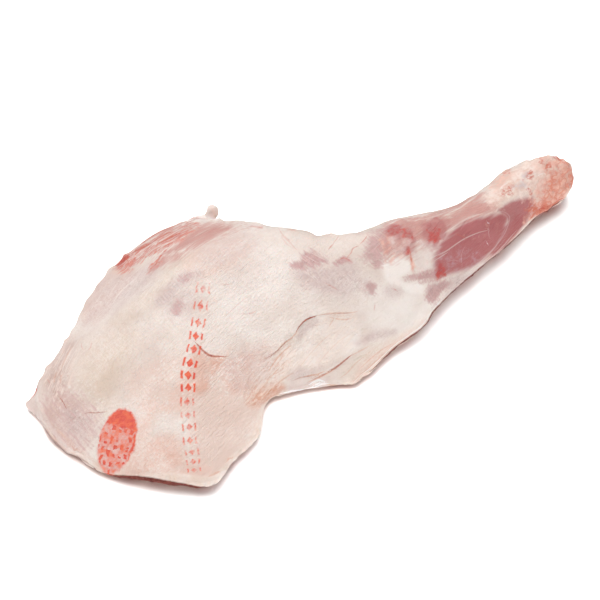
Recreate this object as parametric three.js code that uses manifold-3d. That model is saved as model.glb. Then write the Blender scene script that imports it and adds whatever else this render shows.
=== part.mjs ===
// A raw shoulder of lamb with the bone in, lying on its inner side with the fat side up.
// Millimetres, +Z up. X runs along the limb from the blade end to the knuckle, Y across it.
import * as THREE from "three";
import Module from "manifold-3d";
import { mergeVertices } from "three/addons/utils/BufferGeometryUtils.js";

// Driving dimensions
const BLADE_END = -192; // x of the trimmed end of the shoulder blade
const KNUCKLE_END = 209; // x of the sawn knuckle
const BLADE_HEIGHT = 44; // top of the meat over the middle of the blade
const ELBOW_HEIGHT = 54; // top of the meat over the elbow, the highest place
const SHANK_HEIGHT = 40; // thickness of the shank above the knuckle
const RIM = 10; // thickness of the trimmed edge round the blade
const FLAP_LIFT = 5; // how far the loose flap curls up off the table

// Mesh density
const STATIONS = 84; // steps along the limb
const TOP_STEPS = 34; // steps across the top of a section
const BASE_STEPS = 14; // steps across its underside
const END_CROWDING = 0.35; // share of the steps' spacing that crowds towards the two ends
const EDGE_CROWDING = 0.8; // the same across a section, towards its edges

// Plan of the widest line of the meat, x and y, from the blade end out to the knuckle and back
const FAR_EDGE = [
  [-186, 18],
  [-176, 31],
  [-155, 46],
  [-133.5, 61.2],
  [-111, 78.6],
  [-87.4, 90.8],
  [-45, 100],
  [-20.4, 92],
  [4.4, 65.2],
  [24, 34],
  [38, 17],
  [62, 11],
  [106, -8],
  [126, -9],
  [142, -7],
  [165, 0],
  [187, -3],
  [200, -12],
];
const NEAR_EDGE = [
  [206, -30],
  [192, -37],
  [165, -39.6],
  [140, -47],
  [105, -54],
  [75, -59.2],
  [52, -68.2],
  [20, -73],
  [-10, -81],
  [-20, -75],
  [-50, -63],
  [-66, -61],
  [-84, -80],
  [-108, -88],
  [-127, -97],
  [-141, -87],
  [-177, -49],
  [-186, -30],
];
const BLADE_TIP = [BLADE_END, -8];
const KNUCKLE_TIP = [KNUCKLE_END, -20];

// Sizes that change along the limb, each as x and value
const CREST = [
  [BLADE_END, RIM],
  [-165, 0.5 * BLADE_HEIGHT],
  [-110, 0.8 * BLADE_HEIGHT],
  [-55, BLADE_HEIGHT],
  [0, 0.9 * ELBOW_HEIGHT],
  [55, ELBOW_HEIGHT],
  [105, 0.83 * ELBOW_HEIGHT],
  [140, SHANK_HEIGHT],
  [KNUCKLE_END, SHANK_HEIGHT],
];
const FAR_LINE_HEIGHT = [
  [BLADE_END, 0.5 * RIM],
  [30, 0.6 * RIM],
  [110, 0.45 * ELBOW_HEIGHT],
  [150, 0.5 * SHANK_HEIGHT],
];
const NEAR_LINE_HEIGHT = [
  [BLADE_END, 0.5 * RIM],
  [-150, 0.5 * RIM + FLAP_LIFT],
  [-80, 0.5 * RIM],
  [20, 0.5 * RIM],
  [110, 0.24 * ELBOW_HEIGHT],
  [150, 0.34 * SHANK_HEIGHT],
];
const RIM_HALF = [
  [40, 0.5 * RIM],
  [110, 0],
];
const FAR_DOME_POWER = [
  [-60, 1.2],
  [20, 1.2],
  [70, 0.9],
  [120, 0.5],
];
const NEAR_DOME_POWER = [
  [-60, 1.2],
  [20, 1.2],
  [70, 0.95],
  [120, 0.6],
];
const CREST_SIDE = [
  [BLADE_END, 0.1],
  [-60, 0.2],
  [60, 0.1],
  [120, 0],
];
const BASE_POWER = [
  [40, 5],
  [120, 1.6],
];
const BASE_ROUND = [
  [40, 0.5],
  [120, 1],
];
const RIM_SQUARENESS = 36; // how squarely the top turns down into the trimmed edge
const BASE_FLAT = 0.3; // share of the underside's width that lies flat on the table
const BLADE_ROUND = 5; // length over which the blade's end rounds off
const KNUCKLE_ROUND = 20; // the same at the knuckle

// Muscles, bone and hollows that show through the fat, each along a path of x and y
const SWELLINGS = {
  bladeSpine: { path: [[-178, 4], [-134, 25], [-84, 29], [-44, 33]], height: 3, reach: 12 },
  hollowBehindSpine: { path: [[-139, 51], [-98, 49], [-66, 46]], height: -2.5, reach: 8 },
  pocketBelowFold: { path: [[-26, -52], [-2, -50]], height: -3, reach: 11 },
  upperArmMuscle: { path: [[-5, -18], [36, -22]], height: 1.5, reach: 16 },
  forearmMuscle: { path: [[76, -47], [132, -41]], height: 2.5, reach: 9 },
  wristBone: { path: [[180, -18], [198, -20]], height: 2.5, reach: 11 },
};
// Loose folds of the outer fat: a lip stands up along a path and drops off on its near side
const FOLDS = {
  upperFold: { path: [[-54, -43], [-35, -40], [-25, -38], [-10, -41]], lip: 3, reach: 8 },
  lowerFold: { path: [[-68, -50], [-49, -56], [-34, -62], [-21, -65], [-2, -67]], lip: 4, reach: 9 },
};
const STEP_DEPTH = 0.4; // share of a lip's height that its near side drops below the meat around it
const STEP_REACH = 4; // how far that drop runs
// Soft waves all over the fat: how high and how long each is, and its heading in degrees
const WAVES = [
  { rise: 0.35, length: 71, heading: 12 },
  { rise: 0.3, length: 53, heading: 74 },
  { rise: 0.25, length: 39, heading: 131 },
];

// Scraps that stick out past the trimmed edge
const CURL_PATH = [
  [-36, 95, 5],
  [-30, 93.5, 7.5],
  [-23.5, 92, 9],
  [-18, 90, 9.8],
  [-13.8, 89, 9.8],
  [-11, 88.2, 12],
  [-10.8, 88, 15.8],
  [-12.8, 88.7, 18],
  [-14.5, 89.2, 16.6],
]; // strand of fat along the far edge, with its end hooked over
const CURL_THICKNESS = 4;
const CURL_HEART = [-12.7, 88.7, 13.8]; // the clump of fat that the hook lies round
const CURL_HEART_SIZE = 5.5;
const FILM_CORNERS = [
  [-175, 33],
  [-184.6, 25.3],
  [-191, 20.6],
  [-191.5, 15.6],
  [-189, 1.4],
  [-172, 8],
]; // dried film at the corner of the blade end
const FILM_THICKNESS = 2.8;
const FILM_HEIGHT = 3; // its underside above the table

// Smooth curve of a value along x through a few points
function profile(points) {
  const last = points.length - 1;
  const slopes = points.map((point, i) => {
    if (i === 0 || i === last) return 0;
    const [before, after] = [points[i - 1], points[i + 1]];
    return (after[1] - before[1]) / (after[0] - before[0]);
  });
  return (x) => {
    if (x <= points[0][0]) return points[0][1];
    if (x >= points[last][0]) return points[last][1];
    const i = points.findIndex((point) => point[0] > x) - 1;
    const span = points[i + 1][0] - points[i][0];
    const s = (x - points[i][0]) / span;
    const eased = THREE.MathUtils.lerp(points[i][1], points[i + 1][1], s * s * (3 - 2 * s));
    return eased + span * s * (1 - s) * ((1 - s) * slopes[i] - s * slopes[i + 1]);
  };
}

const crest = profile(CREST);
const farLineHeight = profile(FAR_LINE_HEIGHT);
const nearLineHeight = profile(NEAR_LINE_HEIGHT);
const rimHalf = profile(RIM_HALF);
const farDomePower = profile(FAR_DOME_POWER);
const nearDomePower = profile(NEAR_DOME_POWER);
const crestSide = profile(CREST_SIDE);
const basePower = profile(BASE_POWER);
const baseRound = profile(BASE_ROUND);

// The plan outline as two lines from the blade tip to the knuckle tip, each looked up by x
const SAMPLES_PER_SPAN = 24;
const outlinePoints = [BLADE_TIP, ...FAR_EDGE, KNUCKLE_TIP, ...NEAR_EDGE];
const outline = new THREE.CatmullRomCurve3(
  outlinePoints.map(([x, y]) => new THREE.Vector3(x, y, 0)),
  true,
);

function edgeLine(firstPoint, lastPoint) {
  const steps = Math.abs(lastPoint - firstPoint) * SAMPLES_PER_SPAN;
  const line = [];
  for (let i = 0; i <= steps; i++) {
    const at = THREE.MathUtils.lerp(firstPoint, lastPoint, i / steps);
    line.push(outline.getPoint(at / outlinePoints.length));
  }
  return (x) => {
    const i = line.findIndex((point) => point.x >= x);
    if (i <= 0) return line[i < 0 ? line.length - 1 : 0].y;
    const share = (x - line[i - 1].x) / (line[i].x - line[i - 1].x);
    return THREE.MathUtils.lerp(line[i - 1].y, line[i].y, share);
  };
}

const knuckleIndex = FAR_EDGE.length + 1;
const farEdge = edgeLine(0, knuckleIndex);
const nearEdge = edgeLine(outlinePoints.length, knuckleIndex);

// Evenly spaced shares from -1 to 1, crowded towards both ends
function crowded(share, crowding) {
  const even = 2 * share - 1;
  return THREE.MathUtils.lerp(even, Math.sin((Math.PI / 2) * even), crowding);
}

// How round a section still is near an end of the limb, from 0 at the tip to 1
function endRound(x) {
  const fromBlade = Math.min((x - BLADE_END) / BLADE_ROUND, 1);
  const fromKnuckle = Math.min((KNUCKLE_END - x) / KNUCKLE_ROUND, 1);
  return Math.sqrt(1 - (1 - fromBlade) ** 2) * Math.sqrt(1 - (1 - fromKnuckle) ** 2);
}

// Top and underside of the meat at x, where t runs from -1 at the near edge to 1 at the far edge
function lineHeight(x, t) {
  return THREE.MathUtils.lerp(nearLineHeight(x), farLineHeight(x), 0.5 + 0.5 * t);
}

function topHeight(x, t) {
  const side = crestSide(x);
  const fromCrest = (t - side) / (t > side ? 1 - side : 1 + side);
  const line = lineHeight(x, t);
  const slab = rimHalf(x) * Math.sqrt(1 - Math.abs(t) ** RIM_SQUARENESS);
  const dome = (1 - fromCrest ** 2) ** (t > side ? farDomePower(x) : nearDomePower(x));
  return line + (slab + (crest(x) - line - rimHalf(x)) * dome) * endRound(x);
}

// Share of the relief that is left towards the rim and the two ends
function rimFade(x, t) {
  return (1 - Math.abs(t) ** 6) * endRound(x);
}

function baseHeight(x, t) {
  const pastFlat = Math.max(0, (Math.abs(t) - BASE_FLAT) / (1 - BASE_FLAT));
  const drop = endRound(x) * (1 - pastFlat ** basePower(x)) ** baseRound(x);
  return lineHeight(x, t) * (1 - drop);
}

// Nearest place on a path: its distance, which side of the path, and the share along it
function tracePath(path) {
  const curve = new THREE.CatmullRomCurve3(path.map(([x, y]) => new THREE.Vector3(x, y, 0)));
  const points = curve.getPoints(8 * path.length);
  return (x, y) => {
    let nearest = { distance: Infinity, side: 1, share: 0 };
    for (let i = 0; i < points.length - 1; i++) {
      const [from, to] = [points[i], points[i + 1]];
      const [dx, dy] = [to.x - from.x, to.y - from.y];
      const reached = ((x - from.x) * dx + (y - from.y) * dy) / (dx * dx + dy * dy);
      const s = THREE.MathUtils.clamp(reached, 0, 1);
      const [offX, offY] = [x - from.x - s * dx, y - from.y - s * dy];
      const distance = Math.hypot(offX, offY);
      if (distance < nearest.distance) {
        const side = dx * offY - dy * offX >= 0 ? 1 : -1;
        nearest = { distance, side, share: (i + s) / (points.length - 1) };
      }
    }
    return nearest;
  };
}

const traced = (feature) => ({ ...feature, trace: tracePath(feature.path) });
const swellings = Object.values(SWELLINGS).map(traced);
const folds = Object.values(FOLDS).map(traced);

// Height that the soft waves, muscles and folds add at a place on the top
function relief(x, y) {
  let height = 0;
  for (const { rise, length, heading } of WAVES) {
    const angle = THREE.MathUtils.degToRad(heading);
    const along = x * Math.cos(angle) + y * Math.sin(angle);
    height += rise * Math.sin((2 * Math.PI * along) / length);
  }
  for (const swelling of swellings) {
    const { distance } = swelling.trace(x, y);
    height += swelling.height * Math.exp(-((distance / swelling.reach) ** 2));
  }
  for (const fold of folds) {
    const { distance, side, share } = fold.trace(x, y);
    const taper = Math.sin(Math.PI * share);
    const lip = Math.exp(-((distance / fold.reach) ** 2));
    const step = -STEP_DEPTH * Math.exp(-distance / STEP_REACH);
    height += fold.lip * taper * (side > 0 ? lip : step);
  }
  return height;
}

// The meat as one closed loft of sections along the limb
function meatGeometry() {
  const positions = [];
  const triangles = [];
  const ringSize = TOP_STEPS + BASE_STEPS;
  for (let i = 1; i < STATIONS; i++) {
    const along = 0.5 + 0.5 * crowded(i / STATIONS, END_CROWDING);
    const x = THREE.MathUtils.lerp(BLADE_END, KNUCKLE_END, along);
    const [near, far] = [nearEdge(x), farEdge(x)];
    for (let j = 0; j < ringSize; j++) {
      const onTop = j < TOP_STEPS;
      const share = onTop ? j / TOP_STEPS : 1 - (j - TOP_STEPS) / BASE_STEPS;
      const t = crowded(share, EDGE_CROWDING);
      const y = THREE.MathUtils.lerp(near, far, 0.5 + 0.5 * t);
      const height = onTop ? topHeight(x, t) + relief(x, y) * rimFade(x, t) : baseHeight(x, t);
      positions.push(x, y, height);
    }
  }
  const rings = STATIONS - 1;
  const bladePole = rings * ringSize;
  const knucklePole = bladePole + 1;
  positions.push(...BLADE_TIP, lineHeight(BLADE_END, 0));
  positions.push(...KNUCKLE_TIP, lineHeight(KNUCKLE_END, 0));
  for (let j = 0; j < ringSize; j++) {
    const next = (j + 1) % ringSize;
    triangles.push(bladePole, j, next);
    for (let i = 0; i < rings - 1; i++) {
      const [a, b] = [i * ringSize + j, i * ringSize + next];
      triangles.push(a, b + ringSize, b, a, a + ringSize, b + ringSize);
    }
    const lastRing = (rings - 1) * ringSize;
    triangles.push(lastRing + next, lastRing + j, knucklePole);
  }
  const geometry = new THREE.BufferGeometry();
  geometry.setAttribute("position", new THREE.Float32BufferAttribute(positions, 3));
  geometry.setIndex(triangles);
  return geometry;
}

// The strand of fat with its hooked end, as a tube and the clump inside the hook
function curlGeometries() {
  const section = new THREE.Shape().absarc(0, 0, CURL_THICKNESS / 2, 0, 2 * Math.PI);
  const path = new THREE.CatmullRomCurve3(CURL_PATH.map((point) => new THREE.Vector3(...point)));
  const strand = new THREE.ExtrudeGeometry(section, { steps: 24, curveSegments: 8, extrudePath: path });
  const heart = new THREE.SphereGeometry(CURL_HEART_SIZE / 2, 12, 8);
  heart.translate(...CURL_HEART);
  return [strand, heart];
}

function filmGeometry() {
  const outlineOfFilm = new THREE.Shape(FILM_CORNERS.map(([x, y]) => new THREE.Vector2(x, y)));
  const film = new THREE.ExtrudeGeometry(outlineOfFilm, { depth: FILM_THICKNESS, bevelEnabled: false });
  film.translate(0, 0, FILM_HEIGHT);
  return film;
}

// Joins closed geometries into one solid
const wasm = await Module();
wasm.setup();

function solidOf(geometry) {
  const bare = geometry.clone();
  bare.deleteAttribute("normal");
  bare.deleteAttribute("uv");
  const merged = mergeVertices(bare);
  const vertProperties = new Float32Array(merged.attributes.position.array);
  const triVerts = new Uint32Array(merged.index.array);
  return new wasm.Manifold(new wasm.Mesh({ numProp: 3, vertProperties, triVerts }));
}

function fused(geometries) {
  const mesh = geometries.map(solidOf).reduce((whole, piece) => whole.add(piece)).getMesh();
  const geometry = new THREE.BufferGeometry();
  geometry.setAttribute("position", new THREE.Float32BufferAttribute(mesh.vertProperties, 3));
  geometry.setIndex(new THREE.BufferAttribute(mesh.triVerts, 1));
  return geometry;
}

const meat = new THREE.Mesh(
  fused([meatGeometry(), ...curlGeometries(), filmGeometry()]),
  new THREE.MeshStandardMaterial({ color: 0xe8d6ca, roughness: 0.45, metalness: 0 }),
);
meat.name = "lamb_shoulder";

// The origin is under the middle of the whole piece, on the table
meat.geometry.computeBoundingBox();
const middle = meat.geometry.boundingBox.getCenter(new THREE.Vector3());
meat.position.set(-middle.x, -middle.y, -meat.geometry.boundingBox.min.z);

const shoulder = new THREE.Group();
shoulder.add(meat);
export default shoulder;
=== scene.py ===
# A raw shoulder of lamb with its shank, lying fat side up on a pale floor
import math

import bmesh
import bpy
import numpy as np
from mathutils import Matrix, Vector, noise


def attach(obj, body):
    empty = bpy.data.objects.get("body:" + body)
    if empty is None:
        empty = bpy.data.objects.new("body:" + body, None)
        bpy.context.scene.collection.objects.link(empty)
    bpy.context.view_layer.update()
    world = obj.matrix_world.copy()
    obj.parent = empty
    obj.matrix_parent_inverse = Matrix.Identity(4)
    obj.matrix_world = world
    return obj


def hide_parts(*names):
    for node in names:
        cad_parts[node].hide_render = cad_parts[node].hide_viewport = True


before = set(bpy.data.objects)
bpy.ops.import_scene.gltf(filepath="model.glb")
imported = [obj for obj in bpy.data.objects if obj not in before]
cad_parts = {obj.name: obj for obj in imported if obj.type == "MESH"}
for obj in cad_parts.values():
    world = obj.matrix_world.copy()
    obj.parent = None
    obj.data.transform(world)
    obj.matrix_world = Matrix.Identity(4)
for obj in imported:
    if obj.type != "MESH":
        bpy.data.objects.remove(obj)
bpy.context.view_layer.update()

# The viewpoint
# A long lens looks down on the meat from its near side. The same numbers give the pixel at which
# any point of the meat is seen, and the marks on the meat are placed by those pixels.
VIEW_TURN = math.radians(34)
VIEW_ELEVATION = math.radians(50)
VIEW_DISTANCE = 1.1
VIEW_AIM = np.array([-0.0085, -0.0015, 0.0])
LENS_MM = 100
SENSOR_MM = 36
PICTURE_PX = 600
PIXEL_MM = 1000 * VIEW_DISTANCE * SENSOR_MM / LENS_MM / PICTURE_PX

view_right = np.array([math.cos(VIEW_TURN), -math.sin(VIEW_TURN), 0.0])
view_back = np.array([
    -math.sin(VIEW_TURN) * math.cos(VIEW_ELEVATION),
    -math.cos(VIEW_TURN) * math.cos(VIEW_ELEVATION),
    math.sin(VIEW_ELEVATION),
])
view_up = np.cross(view_back, view_right)
view_place = VIEW_AIM + VIEW_DISTANCE * view_back

camera_data = bpy.data.cameras.new("viewpoint")
camera_data.lens = LENS_MM
camera_data.sensor_width = SENSOR_MM
camera = bpy.data.objects.new("viewpoint", camera_data)
turn = Matrix(np.column_stack([view_right, view_up, view_back]).tolist())
camera.matrix_world = Matrix.Translation(view_place.tolist()) @ turn.to_4x4()
bpy.context.scene.collection.objects.link(camera)
bpy.context.scene.camera = camera


def seen_at(points):
    """The pixels at which points in metres are seen, across and down."""
    from_camera = points - view_place
    pixels_per_metre = PICTURE_PX * LENS_MM / SENSOR_MM / -(from_camera @ view_back)
    across = PICTURE_PX / 2 + pixels_per_metre * (from_camera @ view_right)
    down = PICTURE_PX / 2 - pixels_per_metre * (from_camera @ view_up)
    return np.column_stack([across, down])


# The body of the meat
# One piece of muscle and bone under a coat of fat. It is worked up from the solid: an even skin of
# small faces, finer on the side that shows, that the folds and marks below are then pressed into.
SKIN_FACE = 0.002
SMOOTHING_ROUNDS = 7
SMOOTHING_STEPS = (0.5, -0.5)
UNDERSIDE_SLOPE = -0.35
SAME_POINT = 1e-6

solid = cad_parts["lamb_shoulder"]
shoulder = bpy.data.objects.new("shoulder_of_lamb", solid.data.copy())
bpy.context.scene.collection.objects.link(shoulder)
shell = bmesh.new()
shell.from_mesh(shoulder.data)
bmesh.ops.remove_doubles(shell, verts=shell.verts, dist=SAME_POINT)
shell.to_mesh(shoulder.data)
shell.free()
remesh = shoulder.modifiers.new("even_skin", "REMESH")
remesh.mode = "VOXEL"
remesh.voxel_size = SKIN_FACE
evaluated = shoulder.evaluated_get(bpy.context.evaluated_depsgraph_get())
shoulder.data = bpy.data.meshes.new_from_object(evaluated)
shoulder.modifiers.clear()

shell = bmesh.new()
shell.from_mesh(shoulder.data)
showing = [face for face in shell.faces if face.normal.z > UNDERSIDE_SLOPE]
edges = {edge for face in showing for edge in face.edges}
bmesh.ops.subdivide_edges(shell, edges=list(edges), cuts=1, use_grid_fill=True)
for _ in range(SMOOTHING_ROUNDS):
    for step in SMOOTHING_STEPS:
        bmesh.ops.smooth_vert(
            shell, verts=shell.verts, factor=step, use_axis_x=True, use_axis_y=True, use_axis_z=True
        )
bmesh.ops.triangulate(shell, faces=[face for face in shell.faces if len(face.verts) > 4])
shell.to_mesh(shoulder.data)
shell.free()
shoulder.data.shade_smooth()


def read_points(mesh):
    """A mesh's points and outward directions, as arrays."""
    points = np.zeros(3 * len(mesh.vertices), np.float32)
    mesh.vertices.foreach_get("co", points)
    outward = np.zeros(3 * len(mesh.vertices), np.float32)
    mesh.vertex_normals.foreach_get("vector", outward)
    return points.reshape(-1, 3).astype(float), outward.reshape(-1, 3).astype(float)


skin, outward = read_points(shoulder.data)
skin_mm = 1000 * skin
pixels = seen_at(skin)
to_camera = view_place - skin
to_camera /= np.linalg.norm(to_camera, axis=1)[:, None]


def smooth_share(low, high, value):
    """0 below low, 1 above high, and a soft S between them."""
    share = np.clip((value - low) / (high - low), 0, 1)
    return share * share * (3 - 2 * share)


# How far each point is turned to the camera and upwards, from -1 to 1, and the shares that follow from it
SEEN_SLOPES = (0.0, 0.18)
TOPSIDE_SLOPES = (-0.5, 0.1)
toward = np.sum(outward * to_camera, axis=1)
slope = outward[:, 2]
seen = smooth_share(*SEEN_SLOPES, toward)
topside = smooth_share(*TOPSIDE_SLOPES, slope)
everywhere = np.ones(len(skin))


def lumps(size_mm, where=slice(None), shift=0.0):
    """Soft noise from -1 to 1 over the skin or some of its points, with lumps of that size."""
    spots = skin_mm[where] / size_mm + shift
    return np.array([noise.noise(spot) for spot in spots])


def fibres(angle_deg, length_mm, width_mm, where=slice(None), shift=0.0):
    """Noise from -1 to 1 drawn out into fibres along one direction of the picture."""
    angle = math.radians(angle_deg)
    along = (pixels[where] @ [math.cos(angle), math.sin(angle)]) * PIXEL_MM / length_mm
    across = (pixels[where] @ [-math.sin(angle), math.cos(angle)]) * PIXEL_MM / width_mm
    spots = np.column_stack([along + shift, across + shift, np.full(len(along), shift)])
    return np.array([noise.noise(spot) for spot in spots])


def mottled(level, mottles):
    """A level over the skin, broken up by lumps, each given as size in mm, amount and shift."""
    for size, amount, shift in mottles:
        level = level + amount * lumps(size, shift=shift)
    return level


CURVE_STEPS = 6


def curve_through(points, closed=False):
    """Close points on a smooth curve through a few given ones."""
    knots = np.array(points, float)
    if closed:
        knots = np.vstack([knots[-1], knots, knots[:2]])
    else:
        knots = np.vstack([2 * knots[0] - knots[1], knots, 2 * knots[-1] - knots[-2]])
    curve = []
    for before, start, end, after in zip(knots, knots[1:], knots[2:], knots[3:]):
        for s in np.arange(CURVE_STEPS) / CURVE_STEPS:
            bend = (2 * before - 5 * start + 4 * end - after) * s**2
            twist = (3 * start - before - 3 * end + after) * s**3
            curve.append(0.5 * (2 * start + (end - before) * s + bend + twist))
    curve.append(end)
    return np.array(curve)


# How many pixels from a mark are looked at, the distance in mm of points farther off, and the least length
MARK_REACH = 70
FAR_OFF = 1e3
LEAST = 1e-9


def beside(path):
    """Each point's distance to a path in mm, its side (1 is right or below), and its share along."""
    path = np.array(path, float)
    steps = np.diff(path, axis=0)
    lengths = np.maximum(np.linalg.norm(steps, axis=1), LEAST)
    begun = np.concatenate([[0.0], np.cumsum(lengths)])
    distance = np.full(len(pixels), FAR_OFF)
    side = np.ones(len(pixels))
    share = np.zeros(len(pixels))
    within = (pixels > path.min(0) - MARK_REACH) & (pixels < path.max(0) + MARK_REACH)
    near = np.flatnonzero(within.all(axis=1))
    for start, step, length, so_far in zip(path, steps, lengths, begun):
        offset = pixels[near] - start
        reached = np.clip(offset @ step / length**2, 0, 1)
        gap = offset - reached[:, None] * step
        gap_mm = np.hypot(gap[:, 0], gap[:, 1]) * PIXEL_MM
        closer = gap_mm < distance[near]
        spots = near[closer]
        distance[spots] = gap_mm[closer]
        turned = step[0] * gap[closer, 1] - step[1] * gap[closer, 0]
        side[spots] = np.where(turned >= 0, 1, -1)
        share[spots] = (so_far + reached[closer] * length) / begun[-1]
    return distance, side, share


def inside(outline):
    """How far each point is inside an outline in mm, below 0 outside it."""
    ring = curve_through(outline, closed=True)
    distance = beside(ring)[0]
    near = np.flatnonzero(distance < FAR_OFF)
    within = np.zeros(len(near), bool)
    across, down = pixels[near].T
    for (x0, y0), (x1, y1) in zip(ring, ring[1:]):
        crosses = (y0 > down) != (y1 > down)
        rise = y1 - y0 if y1 != y0 else LEAST
        within ^= crosses & (across < x0 + (down - y0) * (x1 - x0) / rise)
    distance[near[~within]] *= -1
    return np.where(distance < FAR_OFF, distance, -FAR_OFF)


def cover(outline, feather):
    """How much an outline covers on the side that shows, from 0 to 1, with a soft edge of that feather."""
    return smooth_share(-1, 1, inside(outline) / feather) * seen


# Levels of a patch stay within a limit. A line reaches some mm to each side and fades over the last of them.
LEVEL_LIMIT = 1.5
LINE_REACH = 2.5
LINE_FADE = 0.6 * LINE_REACH
LINE_END = 0.02
relief = np.zeros(len(skin))
fields = {}
drawn = {}


def paint(field, level, share=seen):
    """Adds a patch to a named field. Its level is 0 at the patch's edge and 1 a feather inside it."""
    level = np.clip(level, -LEVEL_LIMIT, LEVEL_LIMIT) * share - LEVEL_LIMIT * (1 - share)
    fields[field] = np.maximum(fields.get(field, np.full(len(skin), -LEVEL_LIMIT)), level)


def level_of(share, gain, bare):
    """The level of a patch that has a share of each point: below 0 by the bare level where it has none."""
    return gain * share - bare


def paint_patches(field, patches):
    """Paints named patches, each an outline with a feather in mm and its most level. Some are broken up by
    streaks, given as their heading, length, width and amount, or by a mottle of a size and an amount."""
    for patch in patches.values():
        level = inside(patch["outline"]) / patch["feather"]
        near = np.flatnonzero(level > -2 * LEVEL_LIMIT)
        if "streaks" in patch:
            angle, length, width, amount = patch["streaks"]
            level[near] += amount * fibres(angle, length, width, near)
        if "mottle" in patch:
            size, amount = patch["mottle"]
            level[near] += amount * lumps(size, near)
        paint(field, np.minimum(level, patch.get("most", LEVEL_LIMIT)))


def thin_ends(share, power):
    """Near 0 at both ends of a line and 1 in its middle."""
    return np.sin(np.pi * np.clip(share, LINE_END, 1 - LINE_END)) ** power


def draw_lines(field, lines, share_shown=seen):
    """Draws named lines, each a path with its half width in mm and its strength, thin at both ends.
    A field of lines holds each point's distance to the nearest line in half widths, left or right of it
    by its sign, and the line's strength there."""
    values = drawn.setdefault(field, np.tile([FAR_OFF, 0.0, FAR_OFF], (len(skin), 1)))
    for line in lines.values():
        distance, side, share = beside(curve_through(line["path"]))
        near = (distance < LINE_REACH) & (distance < values[:, 2])
        fade = 1 - smooth_share(LINE_FADE, LINE_REACH, distance[near])
        values[near, 0] = side[near] * distance[near] / (line["width"] * thin_ends(share[near], 0.5))
        values[near, 1] = line.get("strength", 1.0) * fade * share_shown[near]
        values[near, 2] = distance[near]


# The outer fat
# A thick cream coat under a thin dried skin, laid down by the animal over the whole shoulder. It is soft and
# a little lumpy, whitest where it is thick, and pink where little of it covers the muscle.
# Lumps by size, with their height, then fibres as heading in the picture, length and width (mm, degrees)
FAT_LUMPS = {17: 0.3, 6: 0.14, 2.6: 0.07}
GRAIN_RELIEF = 0.12
GRAIN_FIBRES = (-38, 14, 1.7)
STRIPE_RELIEF = 0.22
STRIPE_FIBRES = (-45, 22, 2.3)
WHITE_PATCHES = {
    "over_elbow": dict(
        outline=[(375, 296), (420, 284), (430, 306), (405, 338), (372, 326)], feather=12, most=0.1),
    "middle": dict(
        outline=[(228, 284), (256, 236), (292, 246), (294, 270), (330, 300), (300, 318), (250, 326)],
        feather=18, most=-0.3),
    "pocket": dict(
        outline=[(306, 346), (316, 328), (350, 322), (358, 345), (328, 362), (308, 366)],
        feather=6, most=0.1),
    "below_joint": dict(
        outline=[(380, 264), (388, 258), (404, 256), (414, 268), (402, 280), (424, 284), (420, 296),
                 (390, 286)], feather=3, mottle=(6, 0.4)),
    "flap": dict(
        outline=[(148, 410), (182, 408), (184, 440), (160, 448), (146, 432)], feather=8, most=-0.3),
    "lower_fold": dict(
        outline=[(330, 376), (340, 370), (352, 362), (364, 364), (360, 380), (345, 384)],
        feather=4, most=-0.2),
}
WARM_PATCHES = {
    "blade": dict(
        outline=[(76, 376), (86, 352), (104, 338), (126, 328), (138, 334), (132, 356), (120, 388),
                 (104, 408), (90, 402)], feather=12),
    "blade_middle": dict(
        outline=[(126, 340), (152, 318), (172, 345), (150, 374), (120, 384)], feather=12, most=-0.6),
    "spine": dict(
        outline=[(112, 322), (136, 300), (156, 280), (178, 262), (190, 258), (178, 272), (158, 294),
                 (140, 314), (122, 330)], feather=5, most=0.1),
    "neck": dict(
        outline=[(280, 230), (330, 238), (366, 236), (360, 252), (340, 254), (320, 250), (296, 250)],
        feather=6, most=-0.8),
    "near_edge": dict(
        outline=[(395, 335), (432, 318), (426, 332), (366, 386), (342, 380), (350, 362), (375, 345)],
        feather=6, most=0.4),
    "lower_fold": dict(
        outline=[(326, 378), (336, 370), (350, 360), (364, 366), (362, 380), (345, 386)],
        feather=4, most=-0.6),
}
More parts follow.
